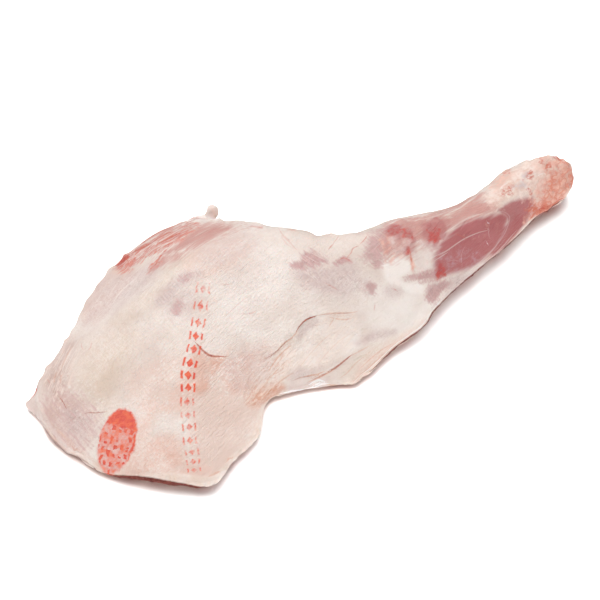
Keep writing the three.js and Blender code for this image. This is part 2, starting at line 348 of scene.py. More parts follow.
BLUSH_PATCHES = {
    "flap_right": dict(
        outline=[(198, 394), (230, 386), (260, 396), (256, 424), (240, 446), (216, 470), (200, 472),
                 (195, 440), (193, 412)], feather=8, mottle=(14, 0.25), most=-0.05),
    "flap_bottom": dict(
        outline=[(116, 478), (136, 462), (170, 468), (200, 462), (214, 474), (180, 480), (140, 480)],
        feather=6, mottle=(8, 0.4), most=0.3),
    "flap_left": dict(
        outline=[(134, 430), (142, 408), (152, 400), (158, 412), (148, 430), (144, 456), (136, 472),
                 (122, 480)], feather=8, mottle=(8, 0.5), most=0.6),
    "flap_middle": dict(
        outline=[(146, 440), (176, 436), (184, 466), (150, 470), (140, 458)], feather=6, most=1.0),
    "flap_top": dict(
        outline=[(160, 400), (188, 376), (206, 382), (198, 400), (180, 412), (160, 412)],
        feather=8, mottle=(8, 0.5), most=0.3),
    "arm_pit": dict(
        outline=[(212, 362), (246, 352), (268, 344), (262, 372), (258, 396), (232, 396)],
        feather=7, mottle=(6, 0.5), most=0.7),
    "below_row": dict(
        outline=[(140, 374), (190, 362), (198, 400), (150, 410), (134, 394)], feather=12, most=-0.1),
    "blade": dict(
        outline=[(72, 372), (95, 345), (122, 336), (132, 352), (122, 380), (98, 404), (80, 396)],
        feather=12, most=-0.7),
    "far_blade": dict(
        outline=[(186, 262), (206, 246), (236, 240), (246, 250), (226, 266), (196, 276)],
        feather=9, most=0.0),
    "left_corner": dict(
        outline=[(46, 406), (60, 396), (76, 402), (92, 414), (92, 432), (78, 448), (60, 442), (50, 424)],
        feather=8, most=0.5),
    "near_edge": dict(
        outline=[(395, 342), (428, 322), (424, 334), (370, 384), (356, 384), (362, 366), (380, 352)],
        feather=5, streaks=(-40, 16, 2.2, 0.6), most=-0.1),
    "far_edge": dict(
        outline=[(84, 318), (98, 290), (118, 268), (136, 272), (118, 292), (98, 318)],
        feather=5, streaks=(-45, 18, 2, 0.8), most=0.2),
}
PEACH_PATCHES = {
    "below_tear": dict(
        outline=[(198, 346), (206, 354), (212, 358), (224, 358), (218, 366), (212, 376), (206, 388),
                 (198, 393), (192, 376)], feather=5, mottle=(5, 0.4), most=0.05),
    "arm_pit": dict(
        outline=[(247, 404), (252, 394), (264, 386), (277, 383), (285, 388), (272, 400), (260, 407)],
        feather=3, streaks=(-48, 18, 1.6, 0.6)),
    "flap_low": dict(
        outline=[(138, 452), (160, 450), (170, 462), (150, 472), (136, 468)], feather=6, most=-0.55),
    "lower_left": dict(
        outline=[(40, 414), (52, 437), (66, 451), (84, 465), (102, 476), (101, 467), (86, 456),
                 (70, 442), (58, 428), (48, 411)], feather=3, most=-0.2),
    "near_edge": dict(
        outline=[(384, 354), (398, 344), (410, 338), (408, 346), (392, 362), (382, 364)],
        feather=3, streaks=(-40, 14, 2, 0.7), most=0.0),
    "far_edge": dict(
        outline=[(213, 232), (232, 232), (240, 240), (228, 246), (214, 242)], feather=6, most=-0.9),
}
STRIPED_PATCHES = {
    "arm_pit": dict(
        outline=[(244, 388), (252, 368), (268, 352), (286, 341), (294, 346), (292, 364), (284, 380),
                 (268, 394), (256, 402), (246, 400)], feather=5),
    "near_edge": dict(
        outline=[(350, 382), (370, 362), (396, 342), (420, 328), (424, 334), (396, 352), (372, 376),
                 (358, 386)], feather=5, most=-0.35),
    "pocket": dict(
        outline=[(290, 352), (306, 330), (330, 318), (350, 318), (346, 346), (320, 366), (296, 372)],
        feather=7, most=-0.3),
}
# Small white flecks: painted glints of the wet skin
PAINTED_GLINT_PATCHES = {
    "flap": dict(
        outline=[(138, 408), (160, 398), (184, 402), (186, 436), (182, 466), (152, 470), (140, 446)],
        feather=9, most=-0.95),
    "by_tear": dict(
        outline=[(214, 380), (219, 366), (228, 357), (238, 362), (230, 376), (224, 394)],
        feather=4, most=-0.8),
    "left_end": dict(
        outline=[(62, 398), (78, 388), (94, 398), (88, 412), (70, 412)], feather=6, most=-0.8),
    "below_row": dict(outline=[(160, 372), (182, 366), (186, 392), (164, 398)], feather=6, most=-0.8),
}
for size, height in FAT_LUMPS.items():
    relief += height * lumps(size) * topside
relief += GRAIN_RELIEF * fibres(*GRAIN_FIBRES) * seen
striped = cover(STRIPED_PATCHES["arm_pit"]["outline"], feather=5)
relief += STRIPE_RELIEF * striped * fibres(*STRIPE_FIBRES, shift=8.0)
paint_patches("white", WHITE_PATCHES)
paint_patches("warm", WARM_PATCHES)
paint_patches("blush", BLUSH_PATCHES)
paint_patches("peach", PEACH_PATCHES)
paint_patches("stripes", STRIPED_PATCHES)
paint_patches("painted_glint_flecks", PAINTED_GLINT_PATCHES)

# Folds and tears of the fat
# The coat is loose in the arm pit, where it lies in two folds over a pocket, and its skin is torn in the
# middle of the blade. A lip stands up on one side of each line, and the other side drops away in its shade.
# That shade is also painted into each crease as a dark red-brown line, and each lip gets a painted
# highlight.
FOLDS = {
    "upper": dict(
        path=[(296, 332), (299, 327), (304, 321.5), (309, 318.5), (317, 315.5)],
        lip=0.45, drop=0.55, reach=5, width=0.8, strength=1.1),
    "upper_end": dict(
        path=[(317, 315.5), (329, 314), (340, 313.5), (352, 313)],
        lip=0.25, drop=0.2, reach=3, width=0.45, strength=0.3),
    "upper_start": dict(
        path=[(262, 360), (273, 354.5), (281, 347), (287, 341), (292, 338.5)],
        lip=0.3, drop=0.3, reach=3, width=0.5, strength=0.5),
    "lower": dict(
        path=[(328, 371.5), (335, 368), (341, 363.5), (347, 358.5), (352, 354.5)],
        lip=0.35, drop=0.25, reach=4, width=0.8, strength=0.9),
    "lower_start": dict(
        path=[(312, 380), (320, 376.5), (330, 371.5)],
        lip=0.25, drop=0.15, reach=3, width=0.6, strength=0.5),
    "lower_top": dict(
        path=[(292, 381), (301, 377.5), (313, 375.5)],
        lip=0.3, drop=0.2, reach=3, width=0.5, strength=0.4),
    "tear": dict(
        path=[(195, 342), (200, 347.5), (205, 352.5), (211, 356), (217, 356.5), (226, 356.5)],
        lip=0.25, drop=0.1, reach=5, width=0.9, strength=1.0),
    "left_short": dict(
        path=[(60, 397.5), (62, 400.5), (64, 404), (66.5, 409)],
        lip=0.25, drop=0.35, reach=3, width=0.5, strength=0.7),
    "left_long": dict(
        path=[(84, 413.3), (90, 412.8), (96, 412.8), (107, 411.8)],
        lip=0.2, drop=0.25, reach=2.5, width=0.4, strength=0.7),
    "left_edge": dict(
        path=[(60, 374), (61, 377), (59.5, 381)], lip=0.3, drop=0.5, reach=2, width=0.5, strength=0.35),
    "star": dict(
        path=[(69, 422), (73, 418.5), (77, 415.5)], lip=0.3, drop=0.4, reach=2, width=0.3, strength=0.3),
    "star_down": dict(
        path=[(77, 415), (80.5, 419), (83, 424)], lip=0.2, drop=0.3, reach=2, width=0.3, strength=0.3),
}
# Pale lines along the lips: painted highlights where the lips catch the light
LIP_HIGHLIGHTS = {
    "upper": dict(
        path=[(290, 336), (298, 326), (306, 319), (316, 313.5), (330, 311.5)], width=0.9, strength=0.35),
    "lower": dict(path=[(308, 379), (318, 375), (328, 369.5), (340, 362.3)], width=0.8, strength=0.9),
    "tear": dict(path=[(199, 344), (206, 350.5), (213, 354), (222, 354.5)], width=0.9, strength=0.6),
    "arm_pit": dict(path=[(263, 386), (270, 379), (278, 373.5), (285, 370)], width=0.6, strength=0.7),
    "arm_pit_left": dict(path=[(252, 384), (258, 376), (266, 368)], width=0.6, strength=0.6),
}
TAN_LINES = {
    "upper_right": dict(
        path=[(318, 315.6), (328, 313.5), (340, 313), (352, 312.5), (358, 311)], width=0.7, strength=0.5),
    "upper_low": dict(path=[(330, 317.5), (338, 319), (346, 319.5), (352, 318)], width=0.7, strength=0.6),
    "wisp": dict(path=[(334, 319), (331.5, 322.5), (329, 327)], width=0.6, strength=0.5),
    "start": dict(path=[(277, 351), (284, 343.5), (290, 339.5), (297, 332)], width=0.8, strength=0.7),
    "start_low": dict(path=[(268, 372), (276, 360), (284, 351), (292, 345)], width=0.6, strength=0.8),
    "lower": dict(path=[(302, 377.3), (311, 375.3), (318, 374), (325, 371)], width=0.7, strength=0.9),
    "lower_edge": dict(path=[(308, 382), (316, 379), (326, 374), (337, 368)], width=0.7, strength=0.8),
    "lower_far": dict(path=[(351, 356), (360, 351), (369, 346)], width=0.7, strength=0.5),
    "near_first": dict(path=[(353, 382), (362, 375), (374, 363), (386, 353)], width=0.7, strength=0.5),
    "near_second": dict(path=[(358, 371), (368, 361), (380, 351), (393, 343)], width=0.6, strength=0.5),
    "near_third": dict(path=[(340, 378), (348, 372), (356, 363), (364, 357)], width=0.6, strength=0.5),
    "arm_pit_first": dict(path=[(254, 399), (261, 389), (270, 378), (280, 367)], width=0.7, strength=0.6),
    "arm_pit_second": dict(
        path=[(262, 400), (272, 389), (283, 379), (293, 373)], width=0.7, strength=0.6),
    "pocket_first": dict(path=[(300, 366), (311, 353), (322, 341), (332, 333)], width=0.5, strength=0.3),
    "pocket_second": dict(path=[(318, 364), (328, 352), (338, 342), (350, 334)], width=0.5, strength=0.3),
}
for fold in FOLDS.values():
    distance, side, share = beside(curve_through(fold["path"]))
    shape = np.where(side < 0, fold["lip"], -fold["drop"])
    relief += thin_ends(share, 0.7) * seen * shape * np.exp(-distance / fold["reach"])
draw_lines("crease_shade", FOLDS)
draw_lines("pale_line", LIP_HIGHLIGHTS)
draw_lines("tan", TAN_LINES)

# Thin fat over the muscles
# Where the fat is only a film, the muscle under it shows through as grey, lilac or mauve. Two grey-lilac
# patches, in the pocket under the upper fold and below the elbow, are painted shade.
VEIL_AND_SHADE_PATCHES = {
    "behind_elbow": dict(
        outline=[(296, 271), (316, 267), (340, 264), (354, 266), (364, 278), (374, 286), (374, 294),
                 (356, 292), (341, 297), (324, 294), (308, 288), (299, 280)],
        feather=6, mottle=(8, 0.4), most=0.8),
    "right_of_elbow": dict(
        outline=[(384, 290), (392, 286), (402, 289), (400, 295), (390, 296)], feather=4, most=0.4),
    "far_strip": dict(
        outline=[(104, 282), (140, 268), (160, 265), (150, 283), (128, 300), (110, 313), (86, 326),
                 (90, 304)], feather=6, streaks=(-45, 18, 2, 0.6), most=0.5),
    "spine_shade": dict(
        outline=[(155, 301), (164, 289), (175, 279), (188, 272), (199, 271), (200, 276), (190, 282),
                 (180, 290), (172, 300), (162, 306)], feather=4, mottle=(6, 0.5), most=1.0),
    "below_spine": dict(
        outline=[(166, 300), (180, 292), (194, 294), (196, 304), (184, 314), (170, 314)],
        feather=8, most=0.2),
    "middle": dict(
        outline=[(226, 258), (250, 256), (256, 276), (236, 284)], feather=9, mottle=(8, 0.5), most=-0.4),
    "left_corner": dict(
        outline=[(46, 406), (60, 396), (76, 402), (92, 414), (92, 432), (78, 448), (60, 442), (50, 424)],
        feather=8, most=0.1),
    "star": dict(
        outline=[(62, 408), (78, 405), (92, 416), (90, 434), (74, 440), (64, 426)],
        feather=5, streaks=(-50, 14, 1.6, 0.7), most=1.0),
    "shank_membrane": dict(
        outline=[(445, 300), (446, 282), (464, 275), (480, 266), (500, 246), (514, 233), (521, 231),
                 (498, 258), (468, 284), (440, 308)], feather=2.5, streaks=(-42, 14, 1.4, 0.7)),
    "beside_flap": dict(
        outline=[(228, 362), (262, 350), (272, 366), (258, 382), (238, 388)], feather=8, most=0.0),
    "blade": dict(
        outline=[(84, 360), (110, 332), (140, 320), (150, 345), (130, 372), (96, 384)],
        feather=14, most=-0.7),
    "far_blade": dict(
        outline=[(200, 252), (220, 240), (246, 234), (256, 244), (240, 254), (212, 264)],
        feather=9, most=0.0),
    # Painted shade below the upper fold's lip
    "pocket": dict(
        outline=[(298, 334), (305, 325), (314, 319), (318, 322), (308, 330), (300, 340)],
        feather=2.2, most=0.4),
    "pocket_end": dict(
        outline=[(290, 378), (296, 370), (312, 370), (322, 366), (314, 374), (300, 377)],
        feather=3, most=0.1),
    # Painted shadow below the elbow
    "below_elbow": dict(
        outline=[(357, 345), (364, 337), (376, 332), (394, 330), (392, 335), (374, 339)],
        feather=3, mottle=(5, 0.5)),
}
MAUVE_PATCHES = {
    "behind_elbow": dict(
        outline=[(290, 267), (294, 262), (300, 258), (304, 252), (312, 251), (320, 256), (328, 260),
                 (322, 264), (312, 267), (300, 268.5)],
        feather=2.6, streaks=(35, 16, 1.5, 1.0), most=0.8),
    "behind_elbow_end": dict(
        outline=[(333, 264), (340, 258), (346, 257), (352, 262), (346, 262), (338, 265.5)],
        feather=1.6, streaks=(35, 10, 1.4, 0.8), most=0.8),
    "elbow": dict(
        outline=[(366, 248), (371, 236), (381, 228), (391, 225), (393, 234), (386, 242), (386, 256),
                 (378, 268), (371, 264), (366, 256)], feather=4, mottle=(6, 0.6), most=0.6),
    "spot": dict(
        outline=[(366, 284), (372, 282), (376, 288), (373, 293), (367, 290)],
        feather=2.6, mottle=(3, 0.9), most=0.6),
    "far_spot": dict(
        outline=[(174, 305), (180, 302), (182, 308), (177, 314), (173, 311)],
        feather=3, mottle=(4, 0.6), most=0.2),
    "spine_end": dict(
        outline=[(180, 278), (187, 274), (193, 275), (188, 279), (182, 281)],
        feather=2.5, mottle=(3, 0.8), most=-0.1),
    "left_star": dict(
        outline=[(44, 408), (60, 398), (78, 404), (92, 416), (90, 434), (74, 442), (58, 436)],
        feather=9, streaks=(-50, 14, 1.6, 1.1), most=-0.4),
    "tongue": dict(
        outline=[(406, 278.5), (414, 274), (424, 271.5), (438, 270), (440, 277), (424, 280.5)],
        feather=3, streaks=(-12, 12, 1.6, 0.5), most=0.7),
    "below_tongue": dict(
        outline=[(427, 298), (428, 289), (434, 283.5), (446, 281.5), (450, 284), (442, 292), (438, 302),
                 (432, 304)], feather=2.5, streaks=(-58, 10, 1.5, 1.0), most=0.9),
}
paint_patches("veil_and_shade", VEIL_AND_SHADE_PATCHES)
paint_patches("mauve", MAUVE_PATCHES)

# The left end of the blade
# The skin of the fat is puckered here along the edge, and a scrap of dried clear film sticks out past it.
PLEAT_RELIEF = 0.6
PLEAT_FIBRES = (-64, 16, 2.4)
PLEATED_PATCHES = {
    "edge": dict(
        outline=[(44, 384), (50, 366), (60, 352), (70, 340), (75, 345), (69, 368), (66, 390), (54, 400)],
        feather=6, most=0.8),
}
FILM_PATCHES = {
    "film": dict(
        outline=[(39, 383), (32, 395), (25, 405), (28, 412), (36, 420), (46, 429), (42, 415),
                 (38.5, 400)], feather=1.0),
}
FILM_LINES = {
    "edge": dict(
        path=[(38, 386), (33.5, 394.5), (27, 403), (28, 409), (33, 414)], width=1.3, strength=1.3),
    "dot": dict(path=[(29, 410.5), (30.3, 411.5), (31.5, 412)], width=0.8),
    "ring_left": dict(path=[(82, 343), (81.5, 346.5), (83.5, 350)], width=0.5, strength=0.35),
    "ring_right": dict(path=[(91.5, 342.5), (90.5, 347.5), (87.5, 351)], width=0.5, strength=0.35),
    "fleck": dict(path=[(48, 379.5), (48.8, 381), (49.3, 383)], width=0.6, strength=0.4),
    "squiggle": dict(path=[(71.5, 446), (73.5, 449), (73, 452), (78, 448.5)], width=0.5, strength=0.35),
}
END_RIM = {
    "end": dict(
        path=[(36.5, 387), (38, 402), (42, 417), (48.5, 429), (54, 438)], width=1.0, strength=0.7),
}
# A dark hairline along the lower outline: painted shadow where the edge meets the floor
LEFT_RIM = {
    "line": dict(
        path=[(31, 411.5), (38.5, 421.5), (45, 429.5), (51.5, 438), (61, 449), (72, 457.5),
              (86.5, 463.5), (93.5, 467.5)], width=0.5, strength=0.5),
}
PLEAT_LINES = {
    "first": dict(path=[(79, 339), (71, 351), (64, 365), (59, 380)], width=0.5, strength=0.8),
    "second": dict(path=[(75, 352), (69, 362), (64.5, 374)], width=0.5, strength=0.7),
    "third": dict(path=[(83, 344), (77, 355), (73, 362)], width=0.4, strength=0.5),
    "fourth": dict(path=[(64, 352), (58, 364), (54, 376)], width=0.4, strength=0.5),
    "rim": dict(
        path=[(40, 402), (45, 417), (53, 431.5), (63.5, 444.5), (77, 455.5), (92, 464.5)],
        width=2.2, strength=0.55),
}
PLEAT_FOLDS = {
    "spot": dict(path=[(63, 374.5), (61, 378.5), (60.5, 383)], width=0.8, strength=0.5),
    "upper": dict(path=[(73, 345), (67, 356), (61.5, 368)], width=0.5, strength=0.5),
    "lower": dict(path=[(57, 372), (54.5, 378), (53.5, 384)], width=0.6, strength=0.5),
}
pleated = cover(PLEATED_PATCHES["edge"]["outline"], feather=5)
relief += PLEAT_RELIEF * pleated * fibres(*PLEAT_FIBRES, shift=3.0)
paint_patches("pleats", PLEATED_PATCHES)
paint_patches("film", FILM_PATCHES)
draw_lines("vein", FILM_LINES, everywhere)
draw_lines("pale_line", END_RIM)
draw_lines("pale_line", PLEAT_LINES)
draw_lines("tan", PLEAT_FOLDS)
draw_lines("cut_in_shade", LEFT_RIM, everywhere)

# The curl
# A scrap of fat that was pulled off with the hide and stands up from the far edge in a hook.
CURL_OUTLINE = [(186, 223), (197, 214), (203, 209), (204, 202), (211, 198), (221, 202), (223, 213),
                (217, 220), (206, 219), (196, 222)]
CURL_FEATHER = 2
CURL_SWELLING = 1.2
CURL_LUMP = 3.0
CURL_LUMP_HEIGHT = 0.5
CURL_WHITE = dict(gain=2.6, bare=1.2)
CURL_PEACH = dict(gain=1.6, bare=2.0)
curl = smooth_share(-1, 1, inside(CURL_OUTLINE) / CURL_FEATHER)
relief += curl * (CURL_SWELLING + CURL_LUMP_HEIGHT * lumps(CURL_LUMP, shift=12.0))
CURL_BITS = {
    "first": dict(path=[(190.5, 220.5), (192, 219.5), (194, 219)], width=0.7, strength=0.6),
    "second": dict(path=[(197, 217.5), (198.5, 216.5), (200.5, 216)], width=0.6, strength=0.4),
    "third": dict(path=[(203.5, 215), (205, 213.5), (205.5, 211.5)], width=0.6, strength=0.4),
}
# A dark line under the curl's rope: painted shade
CURL_SHADE_LINE = {
    "below": dict(path=[(184, 225.5), (192, 222), (200, 219.5), (209, 218.5)], width=0.4, strength=0.4),
}
# The curl is painted whiter than its cream, to lift its shaded front: painted light
paint("white", level_of(curl, **CURL_WHITE), everywhere)
paint("peach", level_of(curl, **CURL_PEACH), everywhere)
draw_lines("vein", CURL_BITS, everywhere)
draw_lines("crease_shade", CURL_SHADE_LINE, everywhere)

# The torn far edge
# Along the far side of the blade the fat was pulled off with the hide. It left a ragged strip of bright red
# muscle fibres, and beside it a pink band of muscle under its clear skin.
TORN_RELIEF = 0.6
TORN_FIBRES = (-32, 14, 1.8)
TORN_PATCHES = {
    "tip": dict(
        outline=[(117, 265.5), (121, 260), (127, 256), (130, 256.5), (125, 262), (119.5, 266)],
        feather=1.0),
    "below_tip": dict(
        outline=[(126, 259), (132, 257), (138, 257.5), (134, 263), (130, 268), (128, 270), (127, 265)],
        feather=1.6, mottle=(3, 0.9), most=-0.1),
    "main": dict(
        outline=[(129, 256), (136, 249.5), (144, 244), (154, 241), (155, 243), (148, 248.5),
                 (142, 252.5), (135, 256.5)], feather=1.5, streaks=(-32, 10, 1.5, 1.5)),
    "upper": dict(
        outline=[(154, 240), (160, 234.5), (168, 230.5), (176, 227), (172, 233), (164, 238), (158, 241)],
        feather=1.8, streaks=(-32, 10, 1.5, 1.5), most=0.5),
    "second": dict(
        outline=[(157, 245.5), (163, 240), (172, 235.5), (181, 232), (180, 236), (170, 241), (162, 245)],
        feather=1.6, streaks=(-32, 10, 1.5, 1.5), most=0.6),
    "strip": dict(
        outline=[(118, 267), (132, 254), (150, 242), (166, 231), (186, 223), (196, 224), (186, 233),
                 (168, 245), (150, 252), (134, 262), (124, 269)], feather=3, most=0.0),
    "spots": dict(
        outline=[(162, 249), (165, 245), (169, 245.5), (167, 250)],
        feather=1.4, mottle=(2.5, 1.2), most=0.2),
    "fleck": dict(outline=[(149.5, 267), (151.5, 263.5), (153, 264), (151, 268)], feather=1.0, most=-0.3),
    "second_fleck": dict(
        outline=[(155, 265), (158, 260), (160.5, 255), (162, 256), (159.5, 262), (156.5, 266)],
        feather=1.2, mottle=(2.5, 1.0), most=-0.3),
}
ROSE_PATCHES = {
    "band": dict(
        outline=[(157, 264), (163, 258), (172, 254), (188, 249), (204, 240), (222, 234), (234, 228.5),
                 (226, 225), (212, 224), (198, 229), (186, 236), (174, 245), (164, 252)],
        feather=4, streaks=(-31, 22, 2.2, 0.6)),
    "beside_strip": dict(
        outline=[(118, 267), (132, 254), (150, 242), (166, 231), (186, 223), (198, 224), (186, 234),
                 (168, 246), (152, 252), (136, 261), (124, 270)],
        feather=3, streaks=(-31, 14, 1.8, 1.4), most=-0.2),
    "low": dict(
        outline=[(150, 270), (160, 258), (170, 254), (182, 252), (172, 260), (160, 268)],
        feather=4, streaks=(-40, 14, 1.6, 0.8), most=0.35),
    "far_line": dict(
        outline=[(205, 222), (230, 222), (252, 227), (262, 229), (250, 229), (226, 227)],
        feather=1.6, streaks=(5, 10, 1.5, 0.8), most=-0.6),
}
TORN_LINES = {
    "under_tip": dict(path=[(122, 264.5), (128, 260), (133, 257.8), (138, 256)], width=0.6, strength=0.8),
    "along_main": dict(
        path=[(130, 257.5), (138, 253.5), (147, 247.3), (156, 242)], width=0.5, strength=0.7),
    "over_main": dict(path=[(128, 255), (136, 248), (146, 242), (156, 236)], width=0.5, strength=0.6),
    "upper": dict(path=[(158, 242.5), (166, 238), (176, 232), (186, 227)], width=0.6, strength=0.8),
    "lower": dict(path=[(150, 251.5), (158, 247), (168, 243), (178, 239)], width=0.6, strength=0.6),
    "bit": dict(path=[(181.5, 226), (183.5, 225), (186, 224.2)], width=0.9),
    "streak": dict(
        path=[(138, 276), (130, 283), (122, 290), (116, 298), (110, 308)], width=0.45, strength=0.9),
    "left_streak": dict(path=[(121, 278), (114, 288), (108, 297)], width=0.4, strength=0.6),
    "long_streak": dict(path=[(146, 262), (136, 272), (127, 280)], width=0.4, strength=0.5),
    "far_streak": dict(path=[(104, 290), (98, 300), (91, 311)], width=0.4, strength=0.5),
}
TORN_STREAKS = {
    "tip": dict(path=[(115.5, 266.5), (120, 262), (124.5, 258.5), (129, 256)], width=1.1, strength=0.6),
    "main": dict(
        path=[(128, 256), (135, 251.5), (142, 248), (150, 243.5), (157, 240)], width=0.8, strength=1.0),
    "hook": dict(path=[(125.5, 259), (128.5, 261.5), (127.5, 265.5)], width=0.6, strength=0.8),
    "second_hook": dict(
        path=[(131, 258), (135, 257.5), (133, 262), (129.5, 268)], width=0.6, strength=0.5),
    "upper": dict(path=[(150, 244), (158, 238.5), (166, 234), (174, 231)], width=0.6, strength=0.7),
    "lower": dict(path=[(156, 245.5), (164, 240.5), (172, 236.5), (181, 233)], width=0.6, strength=0.7),
    "lower_end": dict(path=[(162, 249), (166, 245.5), (171, 243)], width=0.7, strength=0.6),
    "fleck": dict(path=[(149.5, 267), (151, 264.5), (152.5, 263)], width=0.7, strength=0.5),
    "second_fleck": dict(path=[(155, 265.5), (158, 260.5), (161.5, 255)], width=0.8, strength=0.55),
    "far_line": dict(path=[(140, 245), (150, 237.5), (162, 230.5), (176, 225)], width=0.9, strength=0.8),
    "far_line_end": dict(path=[(176, 225), (186, 221), (196, 219.5)], width=0.7, strength=0.6),
}
torn = cover(ROSE_PATCHES["beside_strip"]["outline"], feather=3)
relief += TORN_RELIEF * torn * fibres(*TORN_FIBRES, shift=5.0)
paint_patches("torn", TORN_PATCHES)
paint_patches("blood", {"tip": TORN_PATCHES["tip"]})
paint_patches("rose", ROSE_PATCHES)
draw_lines("pale_line", TORN_LINES)
draw_lines("vein", TORN_STREAKS)

# The elbow
# The joint is nearly bare of fat. Blood has soaked the tissue over it in blots round a paler middle. The
# paler middle and the white below the joint are a painted sheen.
ELBOW_LEAN = {
    "upper_left": dict(
        outline=[(388, 232), (391, 227.5), (397, 226.5), (402, 230), (400, 236), (394, 238.5)],
        feather=3, mottle=(3, 0.9), most=0.1),
    "arc": dict(
        outline=[(402, 232), (408, 231), (412, 235), (413, 243), (412.5, 251), (407, 254), (405, 250.5),
                 (408.5, 245), (408, 238), (403, 236)], feather=2.8, mottle=(3, 0.9), most=-0.05),
    "right": dict(
        outline=[(427, 232), (431, 223), (440, 220.5), (447, 226), (444, 238), (436, 247), (429, 243)],
        feather=4.5, mottle=(3.5, 0.9), most=0.15),
}
ELBOW_BLOTS = {
    "blot": dict(
        outline=[(440, 262.5), (443, 267), (446, 272.5), (441, 277.5), (437, 278), (436.5, 272)],
        feather=1.8, mottle=(3, 0.9), most=0.4),
    "speck_left": dict(
        outline=[(391, 230), (394, 227.8), (398, 229), (397, 233.5), (392.5, 234)],
        feather=2, mottle=(2.5, 1.2), most=0.1),
    "arc_top": dict(
        outline=[(402, 233), (407, 231.5), (411.5, 234), (411, 239), (405, 238)],
        feather=2.2, mottle=(2.5, 1.2), most=0.1),
    "arc_low": dict(
        outline=[(405.5, 250), (408, 247.5), (410, 249), (408.5, 253.5), (406, 253.5)],
        feather=1.6, mottle=(2.5, 0.8), most=0.1),
    "right": dict(
        outline=[(430, 238), (433, 231), (439, 230), (440, 237), (434, 243)],
        feather=2.6, mottle=(2.5, 1.4), most=-0.1),
}
ELBOW_FLUSH = {
    "left": dict(
        outline=[(384, 240), (387.5, 238), (388.5, 248), (391, 256), (401, 254.5), (400, 258.5),
                 (390, 260), (385.5, 256)], feather=3, mottle=(4, 1.0), most=-0.5),
    "squiggle": dict(
        outline=[(419, 266), (424, 262.5), (430, 262), (428, 267), (422, 268)],
        feather=2, mottle=(2.5, 1.6), most=-0.4),
    "muscle_top": dict(
        outline=[(462, 228), (478, 221), (496, 217), (500, 226), (484, 232), (468, 238)],
        feather=4, streaks=(-28, 16, 1.6, 0.5), most=-1.1),
    "drip": dict(
        outline=[(409.5, 257), (412, 256.5), (413.2, 262), (414.6, 268), (412.6, 271), (410.6, 266)],
        feather=1.1, mottle=(2.5, 0.4), most=1.2),
}
ELBOW_ROSE = {
    "over_joint": dict(
        outline=[(384, 236), (390, 225), (404, 218), (424, 216), (446, 214), (452, 224), (440, 240),
                 (430, 247), (416, 246), (412, 254), (400, 258), (388, 256)],
        feather=5, mottle=(5, 0.8), most=1.0),
}
# Painted sheen: pale patches over the joint where it catches the light
JOINT_SHEEN = {
    "middle": dict(
        outline=[(394, 242), (399, 239.5), (405, 241), (405, 248), (398, 251), (393, 248)],
        feather=4, mottle=(4, 0.8), most=-0.4),
    "below_joint": dict(
        outline=[(414, 256), (418, 248), (425, 246.5), (431, 251), (430, 260), (423, 268), (416, 268)],
        feather=5, mottle=(5, 0.9), most=0.5),
    "fan": dict(
        outline=[(424, 252), (432, 248), (436, 252), (432, 262), (426, 262)],
        feather=4, streaks=(-35, 12, 1.6, 1.0), most=-0.7),
}
ELBOW_DRIP = {
    "drip": dict(path=[(409.4, 250), (410.2, 254), (411, 258), (411.8, 262)], width=0.9, strength=0.6),
}
paint_patches("rose", ELBOW_ROSE)
paint_patches("flush", ELBOW_FLUSH)
paint_patches("lean", ELBOW_LEAN)
paint_patches("blood", ELBOW_BLOTS)
paint_patches("sinew_and_sheen", JOINT_SHEEN)
draw_lines("vein", ELBOW_DRIP)

# The shank
# Two long muscles in their clear skins, with a white tendon along the first, a pale seam round its end and
# torn threads of fat along the upper side.
LEAN_PATCHES = {
    "first_muscle": dict(
        outline=[(454.3, 228.6), (464, 222), (477, 217.8), (490, 215), (500, 212.3), (507, 214.5),
                 (509, 221), (506, 229.7), (501, 242), (493, 252.5), (479, 263.5), (464, 270.5),
                 (450, 274), (438, 277), (435, 268), (433.5, 257), (437, 247), (446, 237.5)],
        feather=3, streaks=(-33, 16, 1.8, 0.6)),
    "second_muscle": dict(
        outline=[(533.5, 197), (527, 197), (520.7, 198.6), (509, 202.4), (499, 208.5), (500, 213),
                 (505, 216), (507, 222), (503, 231), (497, 243), (489, 254), (499, 254), (510, 242),
                 (520, 230), (528, 219), (532, 207)], feather=2.2, streaks=(-33, 16, 1.8, 0.4), most=0.7),
    "tongue": dict(
        outline=[(420, 277), (428, 273.5), (437, 271.5), (439, 277), (430, 279)],
        feather=4, streaks=(-12, 12, 1.6, 0.5), most=-0.5),
}
SHANK_ROSE = {
    "upper": dict(
        outline=[(432, 221), (446, 215), (462, 208), (480, 201), (494, 203), (498, 210), (480, 216),
                 (466, 221), (452, 229), (440, 238), (430, 230)],
        feather=3, streaks=(-28, 18, 1.7, 1.0), most=0.9),
    "crest": dict(
        outline=[(396, 222), (415, 216), (440, 211), (460, 204), (478, 195), (486, 198), (464, 209),
                 (440, 217), (415, 223)], feather=2.5, streaks=(-26, 20, 1.5, 1.2), most=0.4),
    "near_band": dict(
        outline=[(513, 222), (516, 214), (526, 222), (516, 234), (500, 252), (486, 264), (494, 254),
                 (504, 243)], feather=2, streaks=(-42, 14, 1.5, 0.8), most=0.9),
}
